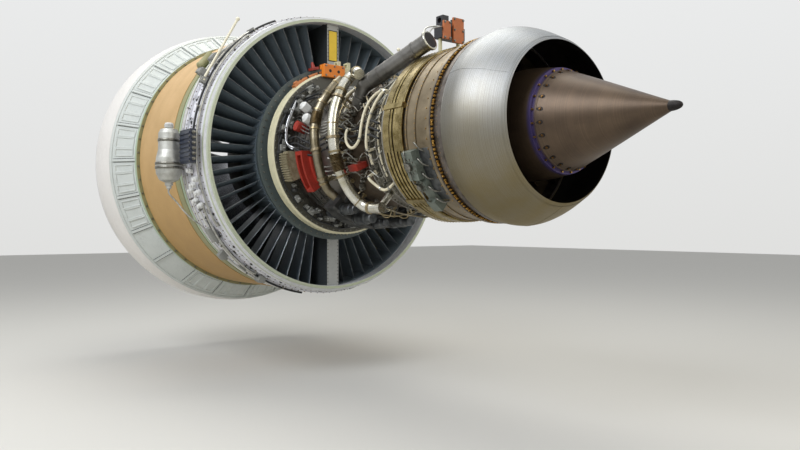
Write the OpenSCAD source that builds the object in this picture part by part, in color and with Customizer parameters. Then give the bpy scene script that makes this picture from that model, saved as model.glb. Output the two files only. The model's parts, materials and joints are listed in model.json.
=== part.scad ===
// High-bypass turbofan, its fan cowls and reverser off, so the core shows.
// X runs along the centreline towards the tail, Z is up, and the left side is at -Y.
// The origin is at the fan case's rear rim, where the reverser bolts on.

/* [Inlet cowl] */
// Station of the lip's foremost circle
lip_x = -3120; // [-3400:10:-3000]
// Radius of the lip's foremost circle
highlight_r = 1575; // [1560:1:1600]
// Largest radius of the outer skin
cowl_r = 1800; // [1780:1:1840]
// Station of the largest radius
cowl_max_x = -2560; // [-2640:5:-2480]
// Station where the outer skin ends
cowl_aft_x = -2270; // [-2300:5:-2240]
// Radius of the outer skin where it ends
cowl_aft_r = 1768; // [1758:1:1776]
// Radius of the inlet's throat
throat_r = 1440; // [1425:1:1450]
// Station of the inlet's throat
throat_x = -2800; // [-2860:5:-2760]
// Thickness of the lip and outer skin
skin_t = 9; // [6:0.5:14]
// Thickness of the sandwich wall of the inner barrel
barrel_t = 42; // [30:1:50]
// Thickness of the forward bulkhead
front_bulkhead_t = 10; // [6:1:16]
// Station of the forward bulkhead's face
front_bulkhead_x = -2800; // [-2840:5:-2760]
// Thickness of the conical aft bulkhead
aft_bulkhead_t = 10; // [6:1:16]
// Number of bays round the aft bulkhead
bay_count = 24; // [16:2:32]
// Width of a radial rib between two bays
bay_rib_w = 16; // [8:1:26]
// Height that a radial rib stands proud
bay_rib_h = 18; // [8:1:24]
// Radius of a pressed stiffening bead
bead_r = 13; // [8:1:20]

/* [Fan and fan case] */
// Number of fan blades
fan_blade_count = 24; // [18:1:28]
// Radius of the fan blade tips
fan_tip_r = 1475; // [1470:1:1477]
// Radial gap between the blade tips and the case
fan_tip_gap = 6; // [4:0.5:9]
// Radius of the hub at the blades' leading edge
fan_hub_front_r = 430; // [400:5:450]
// Radius of the hub at the blades' trailing edge
fan_hub_rear_r = 520; // [500:5:535]
// Station of the hub's front face
fan_hub_x = -1720; // [-1740:5:-1690]
// Station of the spinner's tip
spinner_tip_x = -2150; // [-2220:10:-2080]
// Blade chord at the root
blade_root_chord = 400; // [360:5:430]
// Blade chord at the tip
blade_tip_chord = 560; // [500:5:600]
// Station of the flange between inlet and fan case
inlet_flange_x = -1904; // [-1920:2:-1890]
// Outer radius of that flange
inlet_flange_r = 1562; // [1550:1:1575]
// Thickness of the fan case wall
fan_case_t = 26; // [20:1:32]
// Thickness of the containment wrap
wrap_t = 22; // [16:1:30]
// Station where the containment wrap ends
wrap_aft_x = -830; // [-860:5:-800]
// Station where fan case and exit case are bolted together
exit_case_x = -560; // [-580:5:-540]
// Thickness of the exit case wall
exit_case_t = 30; // [22:1:38]
// Inner radius of the duct at the rear rim
duct_r = 1450; // [1440:1:1455]
// Number of guide vane places round the duct
vane_count = 60; // [48:2:72]
// Station of the guide vanes' trailing edge
vane_aft_x = -185; // [-200:5:-175]
// Axial length of the guide vanes
vane_len = 330; // [280:5:345]
// Angle of the guide vanes to the axis
vane_stagger = 10; // [6:1:14]

/* [Hub frame] */
// Radius of the hub frame at the guide vanes
hub_frame_r = 866; // [860:1:880]
// Radius of the hub frame's rear edge
hub_rim_r = 940; // [930:1:950]
// Number of struts in the core flow
frame_strut_count = 8; // [6:1:12]
// Width of the upper and lower duct struts
strut_w = 150; // [120:2:160]
// Length of the duct struts
strut_len = 470; // [420:5:480]

/* [Core] */
// Radius of the cream landing ring
front_ring_r = 877; // [865:1:890]
// Station of the landing ring's front edge
front_ring_x = 98; // [80:1:110]
// Station of the compressor case's front flange
comp_x = 190; // [185:1:200]
// Outer radius of the compressor case at its front
comp_front_r = 655; // [645:1:660]
// Outer radius of the compressor case at its rear
comp_rear_r = 505; // [500:1:520]
// Station where compressor and combustor cases meet
combustor_x = 955; // [945:1:965]
// Outer radius of the combustor case
combustor_r = 606; // [600:1:615]
// Station where combustor and turbine cases meet
turb_x = 1480; // [1470:1:1490]
// Station where the low-pressure turbine case begins
lpt_x = 1880; // [1870:1:1890]
// Radius of the low-pressure turbine case at its front
lpt_front_r = 708; // [704:1:716]
// Radius of the low-pressure turbine case at its rear
lpt_rear_r = 742; // [738:1:748]
// Station where the low-pressure turbine case ends
lpt_aft_x = 2530; // [2520:1:2540]
// Wall of the core cases
core_wall = 12; // [8:1:15]
// Radius that the core's bolted flanges stand out
flange_rise = 34; // [26:1:40]
// Thickness of one core flange
flange_t = 14; // [10:1:16]
// Radius of the low-pressure shaft
lp_shaft_r = 75; // [70:1:80]
// Outer radius of the high-pressure shaft
core_shaft_r = 112; // [108:1:120]

/* [Exhaust] */
// Station where nozzle and exhaust frame meet
nozzle_x = 2640; // [2630:1:2650]
// Radius of the nozzle at its front edge
nozzle_front_r = 766; // [760:1:772]
// Radius of the nozzle's swelling
nozzle_bulge_r = 792; // [785:1:800]
// Station of the nozzle's exit
nozzle_exit_x = 3200; // [3180:2:3230]
// Radius of the nozzle's exit
nozzle_exit_r = 625; // [620:1:635]
// Wall of the nozzle
nozzle_t = 9; // [6:1:12]
// Station of the joint between plug and cone
plug_joint_x = 3250; // [3240:2:3270]
// Radius of that joint
plug_joint_r = 380; // [374:1:386]
// Station of the cone's tip
plug_tip_x = 4177; // [4140:1:4200]
// Number of bolts round the plug joint
plug_bolt_count = 24; // [18:2:30]
// Number of nuts round the turbine flange
turbine_nut_count = 60; // [40:2:72]

/* [Ducts and pipes] */
// Radius of the large bleed duct
bleed_duct_r = 75; // [65:1:80]
// Wall of the large bleed duct
bleed_wall = 5; // [3:0.5:8]
// Radius of the silver cross pipe
cross_pipe_r = 50; // [44:1:54]
// Distance of the cross pipe from the centreline
cross_pipe_orbit = 850; // [845:1:860]
// Radius of the bronze-grey lower pipe
lower_pipe_r = 44; // [38:1:48]
// Distance of the lower pipe from the centreline
lower_pipe_orbit = 800; // [795:1:806]
// Radius of the fuel manifold's ring
manifold_orbit = 690; // [682:1:700]
// Radius of the small-bore core tubes
core_tube_r = 13; // [9:1:16]

/* [Accessories] */
// Largest radius of the oil tank
tank_r = 132; // [120:1:140]
// Height of the oil tank
tank_h = 560; // [500:5:600]
// Depth of the engine control unit
control_depth = 60; // [45:1:75]
// Inner radius of the accessory gearbox's arc
gearbox_inner_r = 690; // [680:1:700]
// Radial depth of the accessory gearbox
gearbox_depth = 130; // [110:1:150]
// Length of a fan cowl hold-open rod
hold_rod_len = 780; // [700:10:900]
// Radius of a hold-open rod
hold_rod_r = 13; // [10:1:16]
// Radius of the bore in each mount lug
lug_bore_r = 25; // [18:1:30]

/* [Hidden] */
$fn = 64;
// Facets of the large revolves
round_fn = 256;
// Face-to-face clearance of curved seats
seat = 0.3;
// Length that a cut runs past the face it opens
over = 2;

fan_bore_r = fan_tip_r + fan_tip_gap;
fan_case_r = fan_bore_r + fan_case_t;
wrap_r = fan_case_r + seat + wrap_t;
exit_bore_r = duct_r + 10;
exit_case_r = exit_bore_r + exit_case_t + 40;
vane_ring_t = 7;
strut_front_x = -40 - strut_len;
hub_plate_t = 14;
bearing_r = lp_shaft_r + 52;
core_bearing_r = core_shaft_r + 42;
running = 0.05;

// Depth that a vane row's rim reaches into its case
row_rim = 6;
// Depth of a wheel's rim inside the flats between its blades
wheel_rim = 3;
// Blades or vanes in each of the rows inside the core
hidden_blades = 24;

// Splitter and booster
splitter_x = -1090;
splitter_r = hub_frame_r - 91;
booster_case_r = hub_frame_r - 121;
booster_hub_r = booster_case_r - 185;
booster_stages = 4;
booster_pitch = 105;

// High-pressure compressor
comp_stages = 9;
comp_tip_front_r = 628;
comp_tip_rear_r = 476;
comp_gap = 4;
comp_hub_front_r = 350;
comp_hub_rear_r = 420;

// Vane actuation
ring_x = 262;
ring_w = 34;
ring_in_r = comp_front_r + 8;
ring_t = 12;
lug_pin_r = 9;
actuator_orbit = ring_in_r + 70;
actuator_clock = 300;
slot_play = 0.4;
slot_travel = 3;

// Turbines
turb_blade_r = 500;
turb_disk_r = 400;
lpt_stages = 6;
lpt_pitch = 100;
lpt_hub_r = 420;

// Hold-open rods
hold_rod_x = -215;
hold_rod_orbit = exit_case_r + 62;
hold_clock = 64.5;
// Angle from the outward direction to the rod in its cradle
hold_lean = 93.5;

// Turns a profile of [radius, station] points about the engine's centreline
module turned(profile, fn = round_fn)
  rotate([0, 90, 0])
    rotate_extrude($fn = fn)
      polygon(profile);

// Part of a turned profile, from one clock angle to another
module turned_arc(profile, from, to)
  rotate([from, 0, 0])
    rotate([0, 90, 0])
      rotate([0, 0, 180])
        rotate_extrude(angle = to - from, $fn = round_fn)
          polygon(profile);

// Plain ring between two radii and two stations
module ring(r_in, r_out, x_a, x_b)
  turned([[r_in, x_a], [r_out, x_a], [r_out, x_b], [r_in, x_b]]);

// Carries what is drawn at twelve o'clock round to a clock angle
module at_clock(angle)
  rotate([angle, 0, 0])
    children();

// Point at a station, clock angle and distance from the centreline
function polar(x, angle, r) = [x, -r * sin(angle), r * cos(angle)];

// Toothed wheel drawn as one outline, extruded along the axis
module paddle_wheel(r_root, r_tip, count, thick, x, len)
  translate([x, 0, 0])
    rotate([0, 90, 0])
      linear_extrude(len)
        difference() {
          polygon([for (k = [0:count - 1])
                     each tooth(360 * k / count, r_root, r_tip, thick)]);
          circle(r = r_root * cos(180 / count) - wheel_rim, $fn = round_fn);
        }

// One blade of the wheel's outline
function tooth(angle, r_root, r_tip, thick) =
  let (h = thick / 2, a = asin(h / r_root))
  [[r_root * cos(angle - a), r_root * sin(angle - a)],
   [r_tip * cos(angle) + h * sin(angle), r_tip * sin(angle) - h * cos(angle)],
   [r_tip * cos(angle) - h * sin(angle), r_tip * sin(angle) + h * cos(angle)],
   [r_root * cos(angle + a), r_root * sin(angle + a)]];

// Row of straight vanes that point inwards from a case, whose bore is r_case at most
module vane_row(r_tip, r_case, count, thick, x, len) {
  r_open = (r_case + 1) / cos(90 / count);
  translate([x, 0, 0])
    rotate([0, 90, 0])
      linear_extrude(len)
        difference() {
          circle(r = r_case + row_rim, $fn = round_fn);
          polygon([for (k = [0:count - 1])
                     each notch(360 * k / count, 360 / count, r_tip, r_open, thick)]);
        }
}

// One vane of the inward row with the open arc as far as the next vane
function notch(angle, step, r_tip, r_open, thick) =
  let (h = thick / 2, b = asin(h / r_open), a = asin(h / r_tip))
  [[r_tip * cos(angle - a), r_tip * sin(angle - a)],
   [r_tip * cos(angle + a), r_tip * sin(angle + a)],
   [r_open * cos(angle + b), r_open * sin(angle + b)],
   [r_open * cos(angle + step / 2), r_open * sin(angle + step / 2)],
   [r_open * cos(angle + step - b), r_open * sin(angle + step - b)]];

// Closed outline of a slender aerofoil, chord along X
function aerofoil(chord, thick, n = 5, camber = 0) =
  concat([for (i = [0:n])
            let (s = i / n, c = s * s)
            [c * chord, camber * 4 * c * (1 - c) + thick * 1.3 * s * (1 - c)]],
         [for (i = [n - 1:-1:1])
            let (s = i / n, c = s * s)
            [c * chord, camber * 4 * c * (1 - c) - thick * 1.3 * s * (1 - c)]]);

function unit(v) = v / norm(v);

// Smooth curve through hand-set points
function curve(p, steps) =
  [for (i = [0:len(p) - 2])
     for (s = [0:steps - 1])
       curve_point(p[max(i - 1, 0)], p[i], p[i + 1], p[min(i + 2, len(p) - 1)], s / steps),
   p[len(p) - 1]];

function curve_point(a, b, c, d, t) =
  0.5 * ((2 * b) + (c - a) * t + (2 * a - 5 * b + 4 * c - d) * t * t
         + (3 * b - a - 3 * c + d) * t * t * t);

function tangents(p) =
  [for (i = [0:len(p) - 1]) unit(p[min(i + 1, len(p) - 1)] - p[max(i - 1, 0)])];

// Side direction at each point, carried along without twisting
function sides(t, i = 0, done = []) =
  i == len(t) ? done
  : let (last = i == 0 ? (abs(t[0][2]) < 0.8 ? [0, 0, 1] : [0, 1, 0]) : done[i - 1],
         side = unit(last - (last * t[i]) * t[i]))
    sides(t, i + 1, concat(done, [side]));

// Round tube carried along a path
module tube(path, r, n = 8) {
  t = tangents(path);
  s = sides(t);
  rings = len(path);
  points = [for (i = [0:rings - 1])
              for (k = [0:n - 1])
                path[i] + r * (cos(360 * k / n) * s[i]
                               + sin(360 * k / n) * cross(t[i], s[i]))];
  walls = [for (i = [0:rings - 2])
             for (k = [0:n - 1])
               [i * n + k, (i + 1) * n + k,
                (i + 1) * n + (k + 1) % n, i * n + (k + 1) % n]];
  first = [for (k = [0:n - 1]) k];
  last = [for (k = [n - 1:-1:0]) (rings - 1) * n + k];
  polyhedron(points, concat([first], walls, [last]));
}

// Inlet cowl

// Radius of the cowl's outer surface at a station
function cowl_outer(x) =
  x < cowl_max_x
  ? highlight_r + (cowl_r - highlight_r)
      * sqrt(1 - pow((cowl_max_x - x) / (cowl_max_x - lip_x), 2))
  : cowl_r - (cowl_r - cowl_aft_r)
      * pow((x - cowl_max_x) / (cowl_aft_x - cowl_max_x), 2);

function ease(s) = s * s * (3 - 2 * s);

// Radius of the inlet's inner surface at a station
function cowl_inner(x) =
  x < throat_x
  ? highlight_r - (highlight_r - throat_r)
      * sqrt(1 - pow((throat_x - x) / (throat_x - lip_x), 2))
  : throat_r + (fan_bore_r - throat_r)
      * ease(min(1, (x - throat_x) / (inlet_flange_x - throat_x)));

// Stations from the lip, crowded where the nose is round
function nose_x(i, n) =
  lip_x + (front_bulkhead_x - lip_x) * pow(i / n, 2);

module inlet_lip() {
  n = 10;
  outer = [for (i = [0:n]) [cowl_outer(nose_x(i, n)), nose_x(i, n)]];
  inner = [for (i = [n:-1:1]) [cowl_inner(nose_x(i, n)), nose_x(i, n)]];
  hollow_out = [for (i = [2:n])
                  [cowl_outer(nose_x(i, n)) - skin_t, nose_x(i, n)]];
  hollow_in = [for (i = [n:-1:2])
                 [cowl_inner(nose_x(i, n)) + skin_t, nose_x(i, n)]];
  color("whitesmoke")
    difference() {
      turned(concat(outer, inner));
      turned([for (p = concat(hollow_out, hollow_in))
                [p[0], p[1] == front_bulkhead_x ? p[1] + over : p[1]]]);
    }
}

module inlet_outer_skin() {
  n = 10;
  span = cowl_aft_x - front_bulkhead_x;
  outer = [for (i = [0:n])
             let (x = front_bulkhead_x + span * i / n) [cowl_outer(x), x]];
  inner = [for (i = [n:-1:0])
             let (x = front_bulkhead_x + span * i / n) [cowl_outer(x) - skin_t, x]];
  color("whitesmoke")
    turned(concat(outer, inner));
}

attach_ring_w = 56;

module inlet_inner_barrel() {
  n = 10;
  span = inlet_flange_x - attach_ring_w - front_bulkhead_x;
  inner = [for (i = [0:n])
             let (x = front_bulkhead_x + span * i / n) [cowl_inner(x), x]];
  outer = [for (i = [n:-1:0])
             let (x = front_bulkhead_x + span * i / n) [cowl_inner(x) + barrel_t, x]];
  color("lightgray")
    turned(concat(inner, outer));
}

module inlet_front_bulkhead() {
  x_b = front_bulkhead_x + front_bulkhead_t;
  color("darkkhaki")
    turned([[cowl_inner(x_b) + barrel_t + seat, front_bulkhead_x],
            [cowl_outer(front_bulkhead_x) - skin_t - seat, front_bulkhead_x],
            [cowl_outer(front_bulkhead_x) - skin_t - seat, x_b],
            [cowl_inner(x_b) + barrel_t + seat, x_b]]);
}

bulk_in_x = inlet_flange_x - attach_ring_w;
bulk_in_r = fan_bore_r + barrel_t + seat;
bulk_out_x = cowl_aft_x - 2;
bulk_out_r = cowl_aft_r - skin_t - seat;
bulk_angle = atan((bulk_in_x - bulk_out_x) / (bulk_out_r - bulk_in_r));
bulk_len = norm([bulk_in_x - bulk_out_x, bulk_out_r - bulk_in_r]);
// Bays that hold the flat access panel instead of beads
panel_bays = [8, 9];

module inlet_aft_bulkhead() {
  step = 360 / bay_count;
  color("honeydew") {
    turned([[bulk_in_r, bulk_in_x - aft_bulkhead_t], [bulk_in_r, bulk_in_x],
            [bulk_out_r, bulk_out_x], [bulk_out_r, bulk_out_x - aft_bulkhead_t]]);
    for (k = [0:bay_count - 1])
      at_clock(k * step)
        translate([bulk_in_x, 0, bulk_in_r])
          rotate([0, -bulk_angle, 0])
            translate([-4, -bay_rib_w / 2, 26])
              cube([bay_rib_h, bay_rib_w, bulk_len - 66]);
    for (k = [0:bay_count - 1])
      if (k != panel_bays[0] && k != panel_bays[1])
        for (s = [-1, 1])
          at_clock((k + 0.5 + s * 0.18) * step)
            translate([bulk_in_x, 0, bulk_in_r])
              rotate([0, -bulk_angle, 0])
                translate([0, 0, 70])
                  cylinder(r = bead_r, h = bulk_len - 150, $fn = 32);
  }
}

module inlet_attach_ring() {
  x_a = inlet_flange_x - attach_ring_w;
  color("darkseagreen")
    turned([[fan_bore_r, x_a], [fan_bore_r + barrel_t - 4, x_a],
            [fan_bore_r + barrel_t - 4, inlet_flange_x - 20],
            [inlet_flange_r, inlet_flange_x - 20],
            [inlet_flange_r, inlet_flange_x], [fan_bore_r, inlet_flange_x]]);
}

// Fan case

module fan_case() {
  color("darkkhaki")
    turned([[fan_bore_r, inlet_flange_x], [inlet_flange_r, inlet_flange_x],
            [inlet_flange_r, inlet_flange_x + 18], [fan_case_r, inlet_flange_x + 18],
            [fan_case_r, wrap_aft_x], [wrap_r - 6, wrap_aft_x],
            [wrap_r - 6, wrap_aft_x + 130], [wrap_r - 14, wrap_aft_x + 130],
            [wrap_r - 14, exit_case_x - 18], [exit_case_r + 12, exit_case_x - 18],
            [exit_case_r + 12, exit_case_x], [exit_bore_r, exit_case_x],
            [fan_bore_r, -1100]]);
}

module fan_case_wrap() {
  color("goldenrod")
    ring(fan_case_r + seat, wrap_r, inlet_flange_x + 30, wrap_aft_x);
}

exit_rib_xs = [-430, -300, -150];
exit_rib_r = exit_case_r + 6;
exit_skin_r = exit_case_r - 12;
// Station of the rear rim's edge, which carries the reverser's sleeve
rim_x = 6;

module fan_exit_case() {
  color("gainsboro")
    difference() {
      union() {
        turned([[exit_bore_r, exit_case_x], [exit_case_r + 12, exit_case_x],
                [exit_case_r + 12, exit_case_x + 16], [exit_skin_r, exit_case_x + 16],
                [exit_skin_r, -86], [duct_r + 58, -70],
                [duct_r + 58, -34], [duct_r + 30, -26],
                [duct_r + 30, rim_x], [duct_r, rim_x], [duct_r, -80], [exit_bore_r, -110]]);
        for (x = exit_rib_xs)
          ring(exit_skin_r - 1, exit_rib_r, x, x + 16);
      }
      for (k = [0:35])
        at_clock(k * 10 + 5)
          translate([-225, 0, exit_case_r - 30])
            cylinder(r = 20, h = 40, $fn = 32);
      for (k = [0:35])
        at_clock(k * 10)
          translate([-360, 0, exit_case_r - 26])
            cylinder(r = 12, h = 40, $fn = 32);
    }
}

// Guide vane places that each duct strut takes
strut_places = 2;

module outlet_guide_vanes() {
  x_front = vane_aft_x - vane_len;
  root = hub_frame_r + vane_ring_t;
  tip = exit_bore_r - vane_ring_t;
  color("darkslategray") {
    ring(tip, exit_bore_r - seat, x_front - 30, vane_aft_x + 30);
    ring(hub_frame_r + seat, root, x_front - 30, vane_aft_x);
    for (k = [0:vane_count - 1])
      if (k % (vane_count / 2) > strut_places - 1)
        at_clock(k * 360 / vane_count)
          translate([x_front, 0, root - 4])
            rotate([0, 0, vane_stagger])
              linear_extrude(tip - root + 6)
                aerofoil_2d(vane_len, 16, 4, -16);
  }
}

module aerofoil_2d(chord, thick, n, camber)
  polygon(aerofoil(chord, thick, n, camber));

// Hub frame

// Radius of the core duct's outer wall in the hub frame
function swan_outer(s) = booster_case_r + (comp_tip_front_r + comp_gap - booster_case_r) * ease(s);
// Radius of the core duct's inner wall in the hub frame
function swan_inner(s) = booster_hub_r - 8 + (comp_hub_front_r - booster_hub_r) * ease(s);

frame_wall = 12;
// Collar of the compressor case round the hub frame's end
collar_len = 18;

module fan_hub_frame() {
  n = 6;
  x_a = exit_case_x;
  x_b = comp_x;
  span = x_b - x_a;
  color("dimgray") {
    turned([[hub_frame_r - 16, x_a], [hub_frame_r, x_a], [hub_frame_r, vane_aft_x],
            [hub_frame_r + 34, -100], [hub_rim_r, -8], [hub_rim_r, 6],
            [hub_rim_r - 26, 6], [hub_rim_r - 26, -8], [hub_frame_r + 20, -100],
            [hub_frame_r - 16, vane_aft_x - 10]]);
    ring(swan_outer(0.72), hub_rim_r - 20, -6, 6);
    ring(booster_case_r, hub_frame_r - 10, x_a, x_a + hub_plate_t);
    turned(concat(
      [for (i = [0:n - 1]) [swan_outer(i / n), x_a + span * i / n]],
      [[swan_outer(1), x_b - collar_len - 12], [swan_outer(1), x_b],
       [swan_outer(1) + frame_wall, x_b], [swan_outer(1) + frame_wall, x_b - collar_len - 12]],
      [for (i = [n - 1:-1:0]) [swan_outer(i / n) + frame_wall, x_a + span * i / n]]));
    turned(concat(
      [for (i = [0:n]) [swan_inner(i / n), x_a + span * i / n]],
      [for (i = [n:-1:0]) [swan_inner(i / n) - frame_wall, x_a + span * i / n]]));
    for (k = [0:frame_strut_count - 1])
      at_clock((k + 0.5) * 360 / frame_strut_count)
        translate([-420, 0, booster_hub_r - 40])
          linear_extrude(hub_frame_r - booster_hub_r + 34)
            aerofoil_2d(210, 26, 5, 0);
    ring(bearing_r + seat, swan_inner(0.38) - 6, -290, -290 + hub_plate_t);
    ring(bearing_r + seat, bearing_r + 18, -320, -250);
    ring(core_bearing_r + seat, swan_inner(0.93) - 6, 140, 140 + hub_plate_t);
    ring(core_bearing_r + seat, core_bearing_r + 18, 120, 172);
  }
}

booster_front_x = splitter_x + 60;

module core_splitter() {
  color("slategray") {
    turned([[splitter_r - 4, splitter_x], [splitter_r, splitter_x - 4],
            [splitter_r + 14, splitter_x + 24],
            [hub_frame_r - 22, splitter_x + 300], [hub_frame_r, exit_case_x - 60],
            [hub_frame_r, exit_case_x], [hub_frame_r - 14, exit_case_x],
            [hub_frame_r - 14, exit_case_x - 60], [hub_frame_r - 36, splitter_x + 296],
            [booster_case_r + 14, splitter_x + 90],
            [booster_case_r + 14, exit_case_x], [booster_case_r, exit_case_x],
            [booster_case_r, splitter_x + 50]]);
    for (s = [0:booster_stages - 1])
      vane_row(booster_hub_r + 12, booster_case_r, hidden_blades, 6,
               booster_front_x + 60 + s * booster_pitch, 34);
  }
}

// Duct strut drawn at twelve o'clock
module duct_strut()
  difference() {
    translate([strut_front_x, 0, hub_frame_r + vane_ring_t + 1])
      linear_extrude(exit_bore_r - hub_frame_r)
        union() {
          translate([strut_w / 2, 0])
            circle(d = strut_w, $fn = 64);
          translate([strut_w / 2, -strut_w / 2])
            square([strut_len - strut_w / 2, strut_w]);
        }
    strut_space();
  }

// Everything outside the bypass duct, which trims the struts
module strut_space() {
  reach = strut_front_x - 20;
  tip = exit_bore_r - vane_ring_t - seat;
  root = hub_frame_r + vane_ring_t + seat;
  turned([[tip, reach], [tip, vane_aft_x + 30 + seat],
          [exit_bore_r - seat, vane_aft_x + 30 + seat],
          [exit_bore_r - seat, -110], [duct_r - seat, -80], [duct_r - seat, 20],
          [duct_r + 300, 20], [duct_r + 300, reach]]);
  turned([[0, reach], [root, reach], [root, vane_aft_x + seat],
          [hub_frame_r + 34 + seat, -100 + seat], [hub_rim_r + seat, -8], [hub_rim_r + seat, 20],
          [0, 20]]);
}

module top_strut() {
  color("lightgray")
    duct_strut();
}

module bottom_strut() {
  color("lightgray")
    at_clock(180)
      duct_strut();
}

// Fan case equipment

tank_x = -470;
tank_y = -(exit_case_r + 30 + tank_r);
tank_top_z = 210;

module oil_tank() {
  h = tank_h;
  r = tank_r;
  color("silver")
    difference() {
      translate([tank_x, tank_y, tank_top_z - h]) {
        rotate_extrude($fn = 64)
          polygon([[0, -60], [26, -60], [26, -30], [40, -30], [40, 0], [r * 0.72, 26],
                   [r * 0.95, 90], [r, 170], [r * 0.95, 250], [r * 0.8, 330],
                   [r * 0.78, h - 60], [r * 0.62, h - 20], [34, h - 6],
                   [34, h + 30], [0, h + 30]]);
        for (z = [180, h - 110])
          translate([-30, r * 0.6, z])
            cube([60, r * 0.4 + 80, 40]);
      }
      ring(0, exit_skin_r + seat, exit_case_x, 0);
    }
}

control_x = -330;
control_clock = 90;

module control_unit() {
  w = 270;
  h = 330;
  top = exit_case_r + 40;
  color("midnightblue")
    at_clock(control_clock)
      difference() {
        union() {
          translate([control_x, -h / 2, top])
            cube([w, h, control_depth]);
          for (k = [0:6])
            translate([control_x + 12, 18 + k * 44 - h / 2, top + control_depth])
              cube([w - 24, 22, 10]);
          for (k = [1, 2])
            for (y = [-h / 2 + 20, h / 2 - 50])
              translate([exit_rib_xs[k] - 6, y, exit_rib_r - 20])
                cube([28, 30, top - exit_rib_r + 22]);
        }
        ring(0, exit_rib_r + seat, exit_case_x, 0);
      }
}

case_tube_r = 11;

// Routes of the tubes on the fan case as [station, clock angle, height over the ribs]
case_tube_routes = [
  [[-250, 36, 20], [-258, 43, 26], [-246, 50, 26], [-252, 57, 20]],
  [[-112, 40, 12], [-106, 52, 16], [-118, 66, 14], [-110, 80, 16], [-116, 94, 16],
   [-108, 107, 16], [-112, 120, 12]],
  [[-196, 112, 22], [-210, 122, 28], [-240, 134, 26], [-230, 146, 22]],
  [[-500, 236, 22], [-490, 250, 16], [-470, 264, 18], [-480, 280, 20], [-490, 296, 20]]];
boss_h = 8;

module fan_case_tubes() {
  foot = exit_skin_r + boss_h + 0.5;
  color("silver")
    for (route = case_tube_routes) {
      ends = [route[0], route[len(route) - 1]];
      tube(pipe_path(concat([[ends[0][0], ends[0][1], foot]],
                            [for (p = route) [p[0], p[1], exit_rib_r + p[2]]],
                            [[ends[1][0], ends[1][1], foot]])), case_tube_r, 6);
      for (p = ends)
        at_clock(p[1])
          difference() {
            translate([p[0], 0, exit_skin_r - 6])
              cylinder(r = case_tube_r + 6, h = boss_h + 6, $fn = 24);
            ring(0, exit_skin_r + seat, exit_case_x, 0);
          }
    }
}

// Small bracket drawn at twelve o'clock
module case_bracket(x, r, len, w, h)
  translate([x, -w / 2, r])
    difference() {
      cube([len, w, h]);
      translate([len * 0.2, -over, 12])
        cube([len * 0.6, w + 2 * over, h - 24]);
    }

module fan_case_brackets() {
  r = exit_rib_r + seat;
  color("gray") {
    for (a = [34, 50, 112, 142, 196, 236, 262, 318])
      at_clock(a)
        case_bracket(-300, r, 16, 90, 44);
    for (a = [48, 56])
      at_clock(a)
        case_bracket(-700, wrap_r - 14 + seat, 90, 60, 66);
    for (a = [-hold_clock, hold_clock])
      at_clock(a)
        hold_bracket(r);
  }
}

// Clevis that carries a hold-open rod's pin
module hold_bracket(r) {
  pin_z = hold_rod_orbit;
  difference() {
    for (x = [hold_rod_x - 30, hold_rod_x + 18])
      translate([x, -30, r + 6])
        cube([12, 60, pin_z - r + 20]);
    translate([hold_rod_x - 40, 0, pin_z])
      rotate([0, 90, 0])
        cylinder(r = 10, h = 80);
  }
  translate([exit_rib_xs[1] - 4, -36, r])
    cube([exit_rib_xs[2] - exit_rib_xs[1] + 24, 72, 10]);
}

// Rod with its eye and pin, drawn at twelve o'clock and pointing along the case
module hold_rod(way) {
  translate([hold_rod_x - 34, 0, hold_rod_orbit])
    rotate([0, 90, 0])
      cylinder(r = 10 - running, h = 68);
  translate([hold_rod_x - 14, 0, hold_rod_orbit])
    rotate([0, 90, 0])
      cylinder(r = 20, h = 28);
  translate([hold_rod_x, 0, hold_rod_orbit])
    rotate([way * hold_lean, 0, 0]) {
      cylinder(r = hold_rod_r, h = hold_rod_len);
      translate([0, 0, hold_rod_len * 0.45])
        cylinder(r = hold_rod_r + 4, h = 40);
      translate([0, 0, hold_rod_len])
        sphere(r = 22, $fn = 32);
    }
}

module hold_open_rod_left() {
  color("ivory")
    at_clock(hold_clock)
      hold_rod(-1);
}

module hold_open_rod_right() {
  color("ivory")
    at_clock(-hold_clock)
      hold_rod(1);
}

// Core cases

// Flange with square faces between two stations of the line below
function flange_step(x_a, r_a, r_top, x_b, r_b) =
  [[x_a, r_a], [x_a, r_top], [x_b, r_top], [x_b, r_b]];

front_flange_r = comp_rear_r + flange_rise + 20;
turb_flange_r = combustor_r + flange_rise;
lpt_flange_r = lpt_front_r + 26;
// Stations and height of the bands round the turbine case
lpt_band_x = 2200;
lpt_band_xs = [lpt_band_x + 6, lpt_band_x + 120];
lpt_band_w = 12;
lpt_band_h = 7;
// Seal flange on the front turbine case
shroud_x = turb_x + 196;
shroud_r = 668;

// Outside line of the core cases as [station, radius]
core_line = concat(
  [[6, 716], [comp_x - 14, 690], [comp_x, 700], [comp_x + 14, 700], [comp_x + 14, comp_front_r],
   [330, comp_front_r]],
  flange_step(combustor_x - 15, comp_rear_r, front_flange_r, combustor_x + flange_t,
              comp_rear_r + 8),
  [[combustor_x + 110, combustor_r]],
  flange_step(turb_x - flange_t, combustor_r, turb_flange_r, turb_x + flange_t, combustor_r),
  [[turb_x + 80, combustor_r + 4]],
  flange_step(shroud_x, 636, shroud_r, shroud_x + 16, 644),
  flange_step(lpt_x - flange_t, 672, lpt_flange_r, lpt_x + flange_t, lpt_front_r),
  [[lpt_band_x - 10, lpt_front_r + 14], [lpt_band_x, lpt_rear_r]],
  [for (x = lpt_band_xs)
     each flange_step(x, lpt_rear_r, lpt_rear_r + lpt_band_h, x + lpt_band_w, lpt_rear_r)],
  flange_step(lpt_aft_x - 30, lpt_rear_r, lpt_rear_r + 30, lpt_aft_x, lpt_rear_r + 30));

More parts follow.
